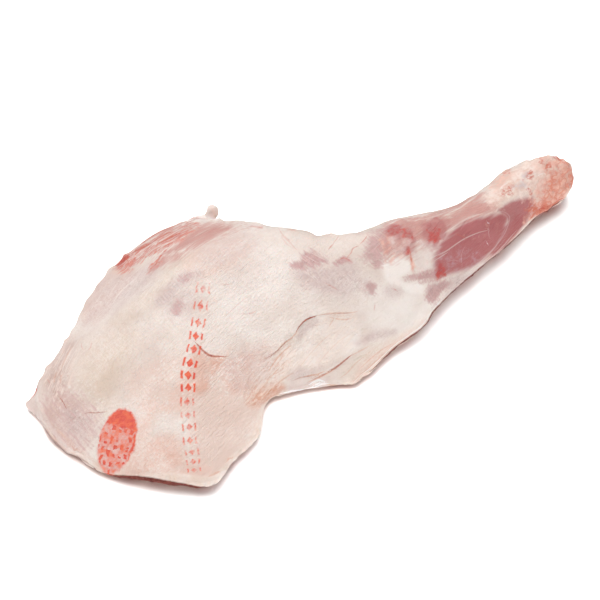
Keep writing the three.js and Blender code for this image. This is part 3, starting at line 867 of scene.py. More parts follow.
SINEW_LINES = {
    "tendon": dict(
        path=[(430.5, 258.5), (438, 254.6), (446.7, 250.3), (463, 239.4), (477, 233), (488, 230)],
        width=0.55, strength=0.5),
    "tendon_side": dict(path=[(434, 261), (441, 256.5), (448, 252)], width=0.5, strength=0.5),
    "seam": dict(
        path=[(494, 213), (503, 211.5), (509, 215), (510, 220), (506, 232), (498, 244), (487, 256),
              (474, 268), (460, 276)], width=0.4, strength=0.3),
    "near_seam": dict(
        path=[(516, 231), (505, 244), (494, 255), (480, 268), (466, 280), (452, 292)],
        width=0.6, strength=0.5),
    "pale_line": dict(
        path=[(450, 229.5), (458, 224), (466, 219.5), (474, 216), (482, 213.5)], width=1.0, strength=0.5),
    "upper_thread": dict(
        path=[(450, 213), (457, 209.5), (465, 204.5), (478, 196.5)], width=0.6, strength=0.7),
    "top_thread": dict(
        path=[(392, 222.5), (404, 218), (420, 215.8), (440, 210.5), (455, 204)], width=0.9, strength=0.5),
    "top_second": dict(
        path=[(410, 221), (428, 218), (446, 212.5), (458, 206.5)], width=0.6, strength=0.4),
    "short_thread": dict(path=[(488, 227), (488.4, 232), (489.2, 238)], width=0.35, strength=0.3),
    "fine_thread": dict(
        path=[(464.5, 247), (461.6, 254), (461.4, 259), (462.4, 265)], width=0.35, strength=0.25),
    "low_thread": dict(path=[(447, 262), (454, 260), (459, 261.5)], width=0.35, strength=0.15),
    "below_tongue": dict(path=[(438, 304), (443, 296), (450, 289)], width=0.6, strength=0.6),
    "below_tongue_near": dict(path=[(443, 304), (448, 296), (455, 289)], width=0.5, strength=0.5),
}
SHANK_VEINS = {
    "over_tendon": dict(path=[(455, 234), (461, 236), (466, 239)], width=0.5, strength=0.4),
    "below_thread": dict(path=[(455, 212.5), (462, 208.5), (470, 207)], width=0.5, strength=0.4),
}
# The tendon stands up and the seam is sunk: each one's height and half width in mm
SINEW_RELIEF = {"tendon": (0.45, 1.0), "seam": (-0.4, 1.6)}
for name, (height, half_width) in SINEW_RELIEF.items():
    from_line = beside(curve_through(SINEW_LINES[name]["path"]))[0]
    relief += height * np.exp(-((from_line / half_width) ** 2)) * seen
paint_patches("rose", SHANK_ROSE)
paint_patches("lean", LEAN_PATCHES)
draw_lines("pale_line", SINEW_LINES)
draw_lines("vein", SHANK_VEINS)

# The knuckle
# The sawn wrist end of the limb: gristle and thin skin over the bone, lumpy, and netted with small blood
# vessels that get closer towards the end.
KNUCKLE_PATCHES = {
    "gristle": dict(
        outline=[(486, 198), (500, 178), (516, 166), (540, 155), (575, 160), (580, 190), (560, 212),
                 (540, 214), (534, 198), (520, 197), (506, 202), (496, 207)], feather=4, mottle=(6, 0.5)),
}
END_PATCHES = {
    "end": dict(
        outline=[(550, 176), (560, 162), (580, 160), (584, 192), (562, 214), (534, 222), (532, 210),
                 (540, 194)], feather=7, mottle=(6, 0.9), most=0.6),
    "top": dict(
        outline=[(540, 163), (552, 158), (564, 162), (562, 172), (548, 170)],
        feather=5, mottle=(4, 1.0), most=0.0),
    "wrist_left": dict(
        outline=[(494, 183), (502, 176), (508, 176), (502, 184), (496, 188)],
        feather=4, mottle=(4, 1.0), most=-0.1),
}
NET_PATCHES = {
    "end": dict(
        outline=[(545, 172), (562, 157), (580, 160), (584, 192), (562, 214), (534, 222), (532, 208),
                 (540, 190)], feather=7),
}
KNUCKLE_SPOTS = {
    "ring_right": dict(
        outline=[(508.5, 187), (511.5, 186), (513, 190), (511, 194.5), (508.5, 193.5), (510, 190)],
        feather=1.5, mottle=(2.5, 1.2), most=0.1),
    "ring_left": dict(
        outline=[(503, 191), (506, 188.5), (506.5, 190.5), (504.5, 195), (502.5, 195.5)],
        feather=1.3, mottle=(2.5, 1.2), most=-0.1),
    "side": dict(
        outline=[(527.5, 174), (529.5, 170.5), (532, 172), (529.5, 176), (527, 177.5)],
        feather=1.3, mottle=(2.5, 1.0), most=0.5),
    "side_low": dict(
        outline=[(528.5, 178), (532, 176), (533, 177), (530.5, 178.8)], feather=1.0, most=0.1),
    "side_dot": dict(
        outline=[(522.6, 180), (523.8, 178.4), (524.6, 179.4), (523.6, 180.8)], feather=0.8, most=0.2),
    "lower": dict(
        outline=[(528, 190), (530, 189.5), (532.5, 193), (531, 194)],
        feather=1.2, mottle=(2, 0.8), most=0.0),
    "far": dict(
        outline=[(504, 173), (507, 170.5), (510, 170), (508, 172.5)],
        feather=1.5, mottle=(2.5, 1), most=-0.1),
    "top": dict(
        outline=[(545.5, 164), (549, 163.5), (550, 166.5), (547, 168)],
        feather=1.5, mottle=(2.5, 1), most=0.3),
    "top_left": dict(
        outline=[(538, 162.5), (541, 160.5), (543.5, 161), (541, 163)],
        feather=1.2, mottle=(2, 1), most=0),
    "corner": dict(
        outline=[(553, 157), (557, 156), (560, 158.5), (557, 159)], feather=1.2, mottle=(2, 1), most=0.2),
    "end_dot": dict(outline=[(569, 184), (571, 184), (571, 187), (569, 186.5)], feather=0.8),
    "end_edge": dict(
        outline=[(571, 174), (575, 173), (575, 183), (572, 182)], feather=1.2, mottle=(2.5, 1), most=0.3),
    "low_edge": dict(
        outline=[(534, 217), (539, 210), (545, 204), (546, 208), (540, 213.5)],
        feather=1.8, mottle=(3, 1.0), most=1.0),
    "low_left": dict(
        outline=[(529, 210), (534, 206), (538, 209), (534, 215)], feather=3, mottle=(3, 1.0), most=0.3),
    "lip_dot": dict(
        outline=[(525.5, 225.5), (527, 224), (528.5, 225), (527, 227)], feather=0.8, most=0.6),
}
LILAC_PATCHES = {
    "knuckle": dict(outline=[(514, 187), (520, 183.5), (526, 184), (522, 187.5)], feather=3, most=0.3),
    "muscle_low": dict(
        outline=[(440, 262), (452, 256), (468, 256), (478, 262), (462, 270), (446, 274)],
        feather=6, most=-0.6),
    "by_spot": dict(outline=[(524, 175), (526, 172), (527.5, 174), (525, 178)], feather=2, most=0.2),
}
KNUCKLE_EDGES = {
    "right": dict(
        path=[(565, 160.5), (569.5, 165.5), (572.3, 172), (573.2, 179), (571.5, 186), (569, 191)],
        width=0.8, strength=0.9),
    "low": dict(
        path=[(531, 218), (536, 213), (541, 210), (547, 207), (555, 203.5), (562, 198.5)],
        width=1.7, strength=1.0),
    "top": dict(path=[(538, 158.5), (545, 156), (552, 155.3), (558, 157)], width=0.6, strength=0.5),
    "notch": dict(path=[(557, 157.5), (560.5, 160), (563, 160.5)], width=0.7, strength=0.8),
}
# Painted highlights: small white glints on the wet knuckle and muscle
KNUCKLE_GLINTS = {
    "ring": dict(path=[(526.5, 178.5), (528, 177.8), (530, 177)], width=0.5, strength=0.6),
    "top_left": dict(path=[(514.5, 165.5), (518, 163), (521.5, 161.8)], width=0.6, strength=0.5),
    "top": dict(path=[(549, 156.4), (553, 156.2), (557, 158)], width=0.5, strength=0.6),
    "right": dict(path=[(567.5, 165.5), (569.5, 168), (571, 171.5)], width=0.5, strength=0.7),
    "middle": dict(path=[(538, 176), (541, 174), (545, 173.5)], width=0.6, strength=0.4),
    "left": dict(path=[(500, 190), (503, 186), (508, 182.5)], width=0.7, strength=0.4),
    "muscle_dot": dict(path=[(487.8, 222.4), (488.1, 223), (488.4, 223.6)], width=0.6, strength=0.7),
    "muscle_low_dot": dict(
        path=[(486.8, 242.6), (487.1, 243.2), (487.4, 243.8)], width=0.6, strength=0.7),
}
# Knobs and fine lumps of gristle, then the lumps of the sawn end, which starts some way along the limb
KNOB_SIZE = 6
KNOB_HEIGHT = 0.7
GRISTLE_LUMPS = [(2.8, 0.4, 4.0)]
SAWN_END_MM = (150, 172)
SAWN_LUMPS = [(11, 1.5, 6.0), (5, 0.8, 1.5)]
gristle = cover(KNUCKLE_PATCHES["gristle"]["outline"], feather=6)
knobs = KNOB_HEIGHT * np.abs(lumps(KNOB_SIZE, shift=2.0))
relief += gristle * mottled(knobs, GRISTLE_LUMPS)
sawn_end = smooth_share(*SAWN_END_MM, skin_mm[:, 0])
relief += sawn_end * mottled(0.0, SAWN_LUMPS)
paint_patches("gristle", KNUCKLE_PATCHES)
paint_patches("flush", END_PATCHES)
paint_patches("net", NET_PATCHES)
paint_patches("spots", KNUCKLE_SPOTS)
paint_patches("lilac", LILAC_PATCHES)
draw_lines("vein", KNUCKLE_EDGES, everywhere)
draw_lines("painted_glint", KNUCKLE_GLINTS, everywhere)

# Small veins
# Fine blood vessels in the thin fat between the blade and the elbow, and fine pale and pink lines on the
# blade, where the skin of the fat is drawn together. A few short pale lines among them are painted glints.
VEIN_LINES = {
    "left": dict(
        path=[(279, 229), (283, 235), (288, 240), (293, 246), (297, 250)], width=0.9, strength=0.25),
    "left_second": dict(path=[(281, 236), (286, 243), (291, 247)], width=0.7, strength=0.18),
    "middle_top": dict(path=[(339, 235.5), (336, 240), (333, 243.5)], width=0.4, strength=0.4),
    "middle": dict(path=[(334, 242.5), (331, 246.5), (328, 250)], width=0.7, strength=0.6),
    "right_top": dict(path=[(367.3, 235.5), (364.5, 239.5), (360, 244)], width=0.5, strength=0.6),
    "right": dict(path=[(358, 246), (353, 248.5), (351, 253), (347, 257.5)], width=0.5, strength=0.6),
    "patch_end": dict(path=[(339, 260.5), (343, 258), (347, 259), (351, 261.5)], width=0.8, strength=0.5),
    "patch_below": dict(path=[(326, 283.5), (331, 286), (337, 289.5)], width=0.7, strength=0.35),
    "far_edge": dict(path=[(286, 229.5), (291, 230), (297, 231.2)], width=0.6, strength=0.4),
    "far_edge_left": dict(path=[(250, 227.5), (256, 228.4), (263, 229)], width=0.6, strength=0.4),
    "blade_pink": dict(path=[(240, 313.5), (247, 314), (252, 313), (257, 310)], width=0.6, strength=0.3),
    "blade_pink_left": dict(path=[(222, 283.5), (226, 284.5), (230, 284)], width=0.6, strength=0.25),
    "blade_long": dict(path=[(222, 320), (232, 310), (243, 300), (252, 295)], width=0.4, strength=0.22),
    "below_spot": dict(path=[(375, 304), (374.6, 307), (374, 311)], width=0.5, strength=0.35),
    "by_elbow": dict(path=[(393.5, 289), (395, 289.5), (396.5, 290.5)], width=0.7, strength=0.5),
}
# Pale lines; the ones named glint and the short ones by and right of the tear are painted glints
PALE_LINES_AND_GLINTS = {
    "blade_short": dict(path=[(237, 256), (241, 261), (245, 268)], width=0.4, strength=0.8),
    "blade_low": dict(path=[(243, 340), (247, 330), (252, 320)], width=0.4, strength=0.5),
    "blade_glint": dict(path=[(252, 290), (256, 289.5), (260, 289)], width=0.5, strength=0.8),
    "middle_glint": dict(path=[(279, 290.5), (282, 290), (285, 289.5)], width=0.4, strength=0.7),
    "glint": dict(path=[(261.5, 303), (262.5, 302), (263.5, 301.5)], width=0.7, strength=0.9),
    "cross_first": dict(path=[(303, 270), (310, 275.5), (318, 283)], width=0.4, strength=0.7),
    "cross_second": dict(path=[(306, 268.5), (313, 275), (322, 285)], width=0.4, strength=0.6),
    "cross_third": dict(path=[(338, 272), (347, 278), (356, 286)], width=0.4, strength=0.5),
    "cross_fourth": dict(path=[(344, 279), (350, 283), (357, 288.5)], width=0.35, strength=0.5),
    "patch_first": dict(path=[(295, 254), (303, 259), (310, 264)], width=0.35, strength=0.6),
    "patch_second": dict(path=[(303, 254), (312, 259.5), (321, 264)], width=0.35, strength=0.6),
    "patch_third": dict(path=[(310, 252), (319, 257), (327, 261)], width=0.35, strength=0.5),
    "by_tear": dict(path=[(219, 367), (222, 364), (226, 360.5), (229, 358.5)], width=0.7, strength=0.9),
    "below_tear": dict(path=[(210.5, 379.5), (211.5, 377.5), (212.8, 375.5)], width=0.7, strength=0.8),
    "right_of_tear": dict(path=[(233, 375), (234, 377.5), (235.5, 379.5)], width=0.5, strength=0.7),
}
draw_lines("vein", VEIN_LINES)
draw_lines("pale_line", PALE_LINES_AND_GLINTS)

# The trimmed rim
# Where the knife went round the shoulder, the cut edge of the fat shows as a thin pale line, and the band
# where the edge turns down and away is painted paler still as a highlight. Round the flap it is rolled up
# into a soft cream lip, with a few bloody nicks, and by the pocket it is a wet fringe with painted white
# glints. Below it a dark line is painted for the meat in shadow, as a gap under the flap and as a hairline
# along the near side.
RIM_ROUGHNESS = {7: 0.5, 2.8: 0.4}
LIP_HEIGHT = 0.5
FRINGE_HEIGHT = 0.6
FRINGE_LUMP = 2.4
LIP_PATCHES = {
    "flap": dict(
        outline=[(140, 474), (160, 472.5), (180, 473.5), (200, 476), (210, 475.5), (219, 471),
                 (228, 459), (239, 449), (250, 436), (257, 418), (262, 404), (270, 404), (266, 430),
                 (250, 456), (224, 484), (208, 492), (180, 488), (150, 482)],
        feather=1.2, mottle=(5, 0.3)),
}
FRINGE_PATCHES = {
    "pocket": dict(
        outline=[(289, 383), (300, 380), (313, 377.5), (326, 379), (323, 388), (306, 392), (288, 393)],
        feather=1.8, mottle=(3, 0.8)),
    "below_fold": dict(
        outline=[(318, 381), (326, 377), (330, 378), (324, 385)], feather=1.5, mottle=(2.5, 0.8)),
}
NICKS = {
    "corner": dict(
        path=[(208.5, 476.5), (213, 474.5), (217, 472.5), (220, 471)], width=1.0, strength=0.7),
    "right": dict(path=[(226, 462), (228.5, 458.5), (231.5, 458), (232.5, 456)], width=0.8, strength=0.6),
    "upper_right": dict(path=[(244, 451), (246, 449.5), (248, 448)], width=0.6, strength=0.5),
}
# Painted glints: white lines along the near rim and in the wet fringe
RIM_GLINTS = {
    "fringe": dict(
        path=[(281, 393.5), (292, 391), (304, 390), (314, 387), (322, 384.5)], width=0.9, strength=0.9),
    "fringe_up": dict(path=[(309, 385), (314, 381.5), (319, 380), (325, 381.5)], width=0.8, strength=0.9),
    "fringe_low": dict(path=[(313, 386), (318, 383.5), (323, 384), (329, 383)], width=0.6, strength=0.8),
    "near": dict(
        path=[(441.5, 300), (432, 312.5), (421.5, 325.5), (407.5, 336), (393.5, 346), (374.5, 364),
              (361.5, 376.5), (355, 382)], width=0.4, strength=0.8),
}
# Painted shadow: a dark line of meat in shade under the flap's lip and along the near side
UNDER_FLAP = {
    "cut_in_shade": dict(
        path=[(94, 468), (101, 472), (115, 474.5), (130, 475.5), (150, 477), (170, 480.5), (190, 484),
              (205, 486), (212, 485)], width=1.15, strength=1.4),
    "near_edge": dict(
        path=[(566, 198), (552, 207.5), (536, 218.5), (528, 225.5), (512, 242), (488, 262.5),
              (464, 282.5), (443.5, 301.5), (434, 314), (423.5, 327), (409.5, 337.5), (395.5, 347.5),
              (376.5, 365.5), (370, 372)], width=0.7, strength=1.1),
}
FOLD_LIP = {
    "edge": dict(path=[(328, 384.5), (336, 385.5), (344, 385.5), (353, 385)], width=0.9, strength=0.9),
}
# The rim starts right of the left end, low down, where the skin turns down and away from the camera
RIM_START_PX = (92, 112)
RIM_TOP_MM = (18, 28)
RIM_DOWNWARD = (0.1, 0.4)
RIM_IN_SIGHT = (-0.1, 0.1)
RIM_FACING = (0.3, 0.55)
RIM_HIGHLIGHT = dict(gain=2.4, bare=1.2)
# The painted shadow of the dark meat shows only on the side that is turned to the camera
UNDER_FLAP_SLOPES = (-0.2, 0.05)
rim = smooth_share(*RIM_START_PX, pixels[:, 0]) * (1 - smooth_share(*RIM_TOP_MM, skin_mm[:, 2]))
rim *= smooth_share(*RIM_DOWNWARD, -(outward @ view_up))
rim *= smooth_share(*RIM_IN_SIGHT, toward) * (1 - smooth_share(*RIM_FACING, toward))
lip = cover(LIP_PATCHES["flap"]["outline"], feather=2)
fringe = cover(FRINGE_PATCHES["pocket"]["outline"], feather=2)
for size, height in RIM_ROUGHNESS.items():
    relief += height * rim * lumps(size, shift=7.0)
relief += LIP_HEIGHT * lip + fringe * FRINGE_HEIGHT * np.abs(lumps(FRINGE_LUMP, shift=1.0))
# The rim band is painted pale: a painted highlight along the edge
paint("rim", level_of(rim, **RIM_HIGHLIGHT), everywhere)
paint_patches("rim", LIP_PATCHES)
paint_patches("film", FRINGE_PATCHES)
draw_lines("tan", NICKS)
draw_lines("painted_glint", RIM_GLINTS, everywhere)
draw_lines("cut_in_shade", UNDER_FLAP, smooth_share(*UNDER_FLAP_SLOPES, toward))
draw_lines("tan", FOLD_LIP, everywhere)

# The raised near edge
# The coat of fat stands out past the muscle under it, so along the near side its edge hangs a little over
# the floor, most of all by the elbow. The edge is drawn up towards the viewpoint, so it keeps its outline.
# Each point is a pixel across and down and how far the edge is drawn up there, in mm.
RAISED_EDGE = [(40, 426, 0), (62, 450, 0.5), (86, 468, 1.5), (100, 476, 1.5), (130, 482, 2), (170, 484, 2),
               (205, 489, 1.5), (222, 480, 1.5), (240, 456, 1.5), (262, 420, 1.5), (272, 404, 1),
               (300, 392, 0.3), (345, 387, 0), (372, 384, 1.5), (400, 358, 6.5), (430, 328, 10),
               (445, 306, 10), (480, 278, 5), (515, 246, 3), (532, 228, 2), (556, 218, 2), (580, 200, 0)]
RAISED_REACH = 14


def lengths_along(path):
    """How far along a path each of its points is, from 0 to 1."""
    steps = np.linalg.norm(np.diff(np.array(path, float), axis=0), axis=1)
    lengths = np.concatenate([[0], np.cumsum(steps)])
    return lengths / lengths[-1]


edge_path = [(across, down) for across, down, _ in RAISED_EDGE]
edge_distance, _, edge_share = beside(curve_through(edge_path))
raised_mm = np.interp(edge_share, lengths_along(edge_path), [height for _, _, height in RAISED_EDGE])
raised_mm *= 1 - smooth_share(0, RAISED_REACH, edge_distance)

# Small steps of the outline
# Corners, nicks and shreds that the knife left round the edge. Each is a soft pull of the skin across the
# picture: its pixel, how far it goes across and down, and its reach, in pixels.
OUTLINE_PULLS = {
    "film_tip": (30, 402, -3.0, -0.8, 6),
    "film_dot": (29, 410, -2.6, 0.3, 5),
    "film_top": (40, 381, -1.4, -1.0, 7),
    "left_step": (47, 368, -2.0, -1.4, 5),
    "left_nick": (65, 341, -1.4, -1.0, 3),
    "upper_nick": (71, 331, -0.9, -0.6, 3),
    "far_left": (80, 315, -1.4, -1.0, 7),
    "far_strip": (88, 302, -1.9, -1.3, 8),
    "strip_middle": (98, 285, -0.7, -0.6, 8),
    "below_tip": (110, 270, -1.8, -1.7, 6),
    "torn_tip": (125, 255.5, -1.3, -1.7, 4),
    "by_curl": (182, 222, -0.4, -1.2, 5),
    "shred": (220, 220, 0.0, -2.5, 2.6),
    "far_middle": (240, 221, 0.0, -1.6, 9),
    "far_crest": (257, 224, 0.0, -2.2, 8),
    "neck_dip": (318, 232.5, 0.0, 2.9, 6),
    "neck_bump": (332, 234, 0.0, -1.3, 3),
    "neck_right": (349, 234, 0.0, -1.5, 7),
    "elbow_left": (376, 224, 0.3, 1.0, 8),
    "shank_top": (482, 190, -0.9, -1.5, 8),
    "shank_left": (469, 197.5, -0.6, -1.2, 6),
    "knuckle_left": (514, 164.5, 0.3, 0.8, 6),
    "knuckle_dip": (530, 158, 0.2, 1.5, 4),
    "knuckle_notch": (560.5, 156.5, -0.5, 2.2, 2.4),
    "knuckle_right": (569, 166, 1.7, -1.1, 6),
    "knuckle_end": (573, 178, 1.0, 0.0, 5),
    "lower_left": (75, 461, 1.7, -2.4, 10),
    "left_low": (57, 449, 0.8, -1.2, 7),
    "fold_corner": (364, 380, -1.7, -1.7, 7),
    "near_elbow": (436, 314, -1.2, -0.8, 8),
}
pulled = np.zeros((len(skin), 3))
for across, down, move_across, move_down, reach in OUTLINE_PULLS.values():
    share = np.exp(-np.sum((pixels - (across, down)) ** 2, axis=1) / reach**2)
    pulled += share[:, None] * (move_across * view_right - move_down * view_up) * PIXEL_MM / 1000

# The meat in the gap under the flap hangs lower by some pixels, within some mm of the gap
UNDER_FLAP_DROP = 2.6
UNDER_FLAP_REACH = 3
cut_distance, _, cut_share = beside(curve_through(UNDER_FLAP["cut_in_shade"]["path"]))
dropped = UNDER_FLAP_DROP * np.sin(np.pi * cut_share) ** 0.5
dropped *= 1 - smooth_share(0, UNDER_FLAP_REACH, cut_distance)
pulled -= dropped[:, None] * view_up * PIXEL_MM / 1000

# The sides that are turned away
# The inner face of the shoulder was cut off the ribs: bare muscle with seams of fat and silverskin. The far
# side of the shank is muscle under a thin veil.
BELOW_SLOPES = (-0.6, -0.2)
SHANK_START_MM = (40, 90)
SHANK_LEAN = dict(gain=1.5, bare=0.9)
LEAN_BELOW = dict(level=0.5, mottles=[(34, 1.3, 11.0), (9, 0.6, 3.0)])
SINEW_BELOW = dict(level=0.1, mottles=[(12, 1.6, 17.0)])
LEAN_BEHIND = [(22, 1.2, 5.0)]
VEIL_BEHIND = dict(level=-0.2, mottles=[(16, 1.2, 9.0)])
away = 1 - seen
below = away * (1 - smooth_share(*BELOW_SLOPES, slope))
behind = away * (1 - below)
shank_share = smooth_share(*SHANK_START_MM, skin_mm[:, 0])
paint("lean", mottled(**LEAN_BELOW), below)
paint("sinew_and_sheen", mottled(**SINEW_BELOW), below)
paint("lean", mottled(level_of(shank_share, **SHANK_LEAN), LEAN_BEHIND), behind)
paint("veil_and_shade", mottled(**VEIL_BEHIND), behind)

# Ink on the fat
# Food dye put on with rubber stamps: a row of small marks up the middle of the blade, and one oval near its
# lower corner that took too much ink at its upper end. Each mark of the row has its pixel and its strength.
ROW_MARKS = [(205, 270), (203, 288), (201, 306), (198, 323), (196, 336), (194, 349), (190, 363), (188, 375),
             (188, 388), (187, 402), (188, 415), (189, 427), (190, 441), (192, 452), (193, 462), (194, 470),
             (195, 478)]
ROW_STRENGTH = [0, 0.5, 0.65, 0.7, 0.85, 0.85, 1.0, 1.1, 0.95, 0.65, 0.6, 0.65, 0.6, 0.6, 0.6, 0.6, 0]
OVAL_MIDDLE = (117, 441.3)
OVAL_END = (107.4, 475.8)
OVAL_HALF_WIDTH = 19.5
row_path = curve_through(ROW_MARKS)
row_distance, row_side, row_share = beside(row_path)
mark_numbers = np.arange(len(ROW_MARKS))
mark_number = np.interp(row_share, lengths_along(row_path)[::CURVE_STEPS], mark_numbers)
mark_strength = np.interp(mark_number, mark_numbers, ROW_STRENGTH)
inked_side = seen > 0.5
from_row = np.where(inked_side, row_side * row_distance, FAR_OFF)
ink_row = np.column_stack([mark_number, from_row, mark_strength])
oval_axis = np.subtract(OVAL_END, OVAL_MIDDLE)
oval_half_length = np.linalg.norm(oval_axis)
oval_axis = oval_axis / oval_half_length
from_middle = pixels - OVAL_MIDDLE
oval_along = from_middle @ oval_axis / oval_half_length
oval_across = from_middle @ [-oval_axis[1], oval_axis[0]] / OVAL_HALF_WIDTH
ink_oval = np.column_stack([oval_along, oval_across, np.where(inked_side, 0.0, FAR_OFF)])

# The finish of the meat
# Wet raw meat: cream fat, pink and red muscle, white sinew. Light goes a few millimetres in, so the colours
# have soft edges, and a film of moisture gives it a broken, satiny shine.
for name, values in fields.items():
    attribute = shoulder.data.attributes.new(name, "FLOAT", "POINT")
    attribute.data.foreach_set("value", values.astype(np.float32))
for name, values in {**drawn, "ink_row": ink_row, "ink_oval": ink_oval}.items():
    attribute = shoulder.data.attributes.new(name, "FLOAT_VECTOR", "POINT")
    attribute.data.foreach_set("vector", values.astype(np.float32).ravel())

pressed = skin + pulled
pressed += (relief / 1000)[:, None] * outward + (raised_mm / 1000)[:, None] * to_camera
pressed[:, 2] = np.maximum(pressed[:, 2], 0)
shoulder.data.vertices.foreach_set("co", pressed.astype(np.float32).ravel())
shoulder.data.update()


def linear(hex_colour):
    """An sRGB hex colour as linear red, green, blue and alpha."""
    channels = [int(hex_colour[i:i + 2], 16) / 255 for i in (1, 3, 5)]
    return [c / 12.92 if c < 0.04045 else ((c + 0.055) / 1.055) ** 2.4 for c in channels] + [1.0]


def add_node(tree, kind, values=None, links=None, **settings):
    """Adds a node with its settings, input values and links, and returns its outputs."""
    node = tree.nodes.new(kind)
    for name, value in settings.items():
        setattr(node, name, value)
    for name, value in (values or {}).items():
        node.inputs[name].default_value = value
    for name, socket in (links or {}).items():
        tree.links.new(socket, node.inputs[name])
    return node.outputs


# Patterns of the flesh: the size in mm along the fibres and across them, the fineness, the heading from the
# limb in degrees, and how far from the middle of the noise its dark and light ends are
PATTERNS = {
    "cloud": (38, 30, 3, 0, 0.18),
    "mottle": (10, 8, 4, 0, 0.18),
    "speck": (4, 3.5, 4, 0, 0.18),
    "fine": (1.9, 1.6, 3, 0, 0.18),
    "grain": (24, 1.5, 3, 6, 0.18),
    "shreds": (9, 1.5, 2, 5, 0.12),
    "streaks": (22, 1.3, 3, 22, 0.14),
    "pleats": (16, 1.8, 3, 36, 0.14),
    "weave": (18, 1.5, 3, -84, 0.16),
}
FAT_COLOURS = ("#DFD0C7", "#E7DBD3")
# Each layer over the fat: its field, darker and lighter colour, pattern, raggedness and cover. The first
# ones are fat, which has fine pale threads over it, and the others are flesh.
FAT_LAYERS = [
    ("warm", "#D6C3B2", "#DDCCBC", "cloud", 0.8, 0.85),
    ("white", "#F4ECE6", "#F9F4F0", "cloud", 0.8, 0.9),
    ("blush", "#E0B7A7", "#E8C6B8", "cloud", 0.8, 0.85),
    ("peach", "#CB8B70", "#DBA58D", "mottle", 1.5, 0.9),
    ("stripes", "#D9AB95", "#F1E1D6", "streaks", 5.0, 0.7),
    # thin fat over the muscle, and painted shade
    ("veil_and_shade", "#C6AEAB", "#D8C5C0", "weave", 2.0, 0.85),
    ("pleats", "#B0867B", "#E9D5CB", "pleats", 4.0, 0.9),
    # painted glints
    ("painted_glint_flecks", "#EFE4DB", "#F5EEE8", "fine", 8.0, 0.6),
]
FLESH_LAYERS = [
    ("mauve", "#B68888", "#CFA9A7", "weave", 4.0, 0.9),
    ("rose", "#BC7E77", "#CF9A92", "grain", 4.0, 0.9),
    ("lean", "#A8585B", "#B36668", "cloud", 1.0, 0.95),
    ("torn", "#B5362C", "#D98A7C", "shreds", 14.0, 0.9),
    ("gristle", "#E3C3B5", "#F4E3DA", "speck", 3.0, 0.9),
    ("flush", "#D07B63", "#EDBDAA", "speck", 4.0, 0.9),
    ("spots", "#B84A38", "#CC705B", "fine", 5.0, 0.9),
    ("lilac", "#B4A1A8", "#C8B8BD", "speck", 3.0, 0.7),
    ("blood", "#B0322C", "#C6544C", "speck", 5.0, 0.9),
    # sinew, and a painted sheen over the joint
    ("sinew_and_sheen", "#E3D2CC", "#F1E9E5", "mottle", 3.0, 0.8),
    ("film", "#D9C5BE", "#E8DAD5", "mottle", 1.5, 0.85),
]
# Each kind of line: its field, darker and lighter colour, cover, and how rough its edges are
LINES = [
    # pale threads, and painted highlights and glints
    ("pale_line", "#E6D9D1", "#F2EAE4", 0.8, 0.9),
    ("tan", "#CF957B", "#E0B59D", 0.8, 0.9),
    ("vein", "#BE4A38", "#D58570", 0.85, 0.9),
    # painted shade in the creases
    ("crease_shade", "#A5503F", "#C07560", 0.9, 0.9),
    # painted shadow: the dark meat in shade under the edge
    ("cut_in_shade", "#6E2E27", "#8A4A3E", 0.9, 0.2),
    # painted glints
    ("painted_glint", "#FFFFFF", "#FFFFFF", 0.85, 0.9),
]
# Where a line ends and where it is full, in half widths from its middle
LINE_EDGE = (1.6, 0.7)
# The rim: a cream lip, and a painted highlight along the edge
RIM_COLOURS = ("#E9D6C9", "#F3E7DE")
RIM_RAGGED = 1.0
RIM_COVER = 0.85
# Fine threads: how near the middle of a pattern's noise they are drawn, how much they cover, and the part of
# the cloud pattern that they fade in over
THREAD_COLOUR = "#F4ECE6"
THREAD_WIDTH = 0.05
THREAD_COVER = 0.4
THREAD_CLOUD = (0.35, 0.65)

meat = bpy.data.materials.new("raw_lamb_fat_and_muscle")
meat.use_nodes = True
tree = meat.node_tree
tree.nodes.clear()
place = add_node(tree, "ShaderNodeTexCoord")["Object"]
pattern = {}
for name, (along, across, fineness, heading, _) in PATTERNS.items():
    scale = (1000 / along, 1000 / across, 1000 / across)
    rotation = (0, 0, -math.radians(heading))
    turned = add_node(tree, "ShaderNodeMapping", {"Rotation": rotation}, {"Vector": place})[0]
    spot = add_node(tree, "ShaderNodeMapping", {"Scale": scale}, {"Vector": turned})[0]
    values = {"Scale": 1.0, "Detail": fineness, "Roughness": 0.6}
    pattern[name] = add_node(tree, "ShaderNodeTexNoise", values, {"Vector": spot})[0]


def calculate(operation, first, second=0.0, third=0.0):
    """A sum on sockets or numbers."""
    parts = dict(enumerate((first, second, third)))
    values = {i: part for i, part in parts.items() if isinstance(part, (int, float))}
    links = {i: part for i, part in parts.items() if i not in values}
    return add_node(tree, "ShaderNodeMath", values, links, operation=operation)[0]


def between(value, low, high, most=1.0):
    """0 at a low value and the most at a high one, with a soft S between them."""
    span = {"From Min": low, "From Max": high, "To Max": most}
    return add_node(tree, "ShaderNodeMapRange", span, {"Value": value}, interpolation_type="SMOOTHSTEP")[0]


def blend(factor, under, over):
    """One colour over another by a factor."""
    return add_node(tree, "ShaderNodeMix", {}, {0: factor, 6: under, 7: over}, data_type="RGBA")[2]


def shades(darker, lighter, name):
    """A colour between two shades that follows a pattern."""
    colours = {6: linear(darker), 7: linear(lighter)}
    reach = PATTERNS[name][4]
    share = between(pattern[name], 0.5 - reach, 0.5 + reach)
    return add_node(tree, "ShaderNodeMix", colours, {0: share}, data_type="RGBA")[2]


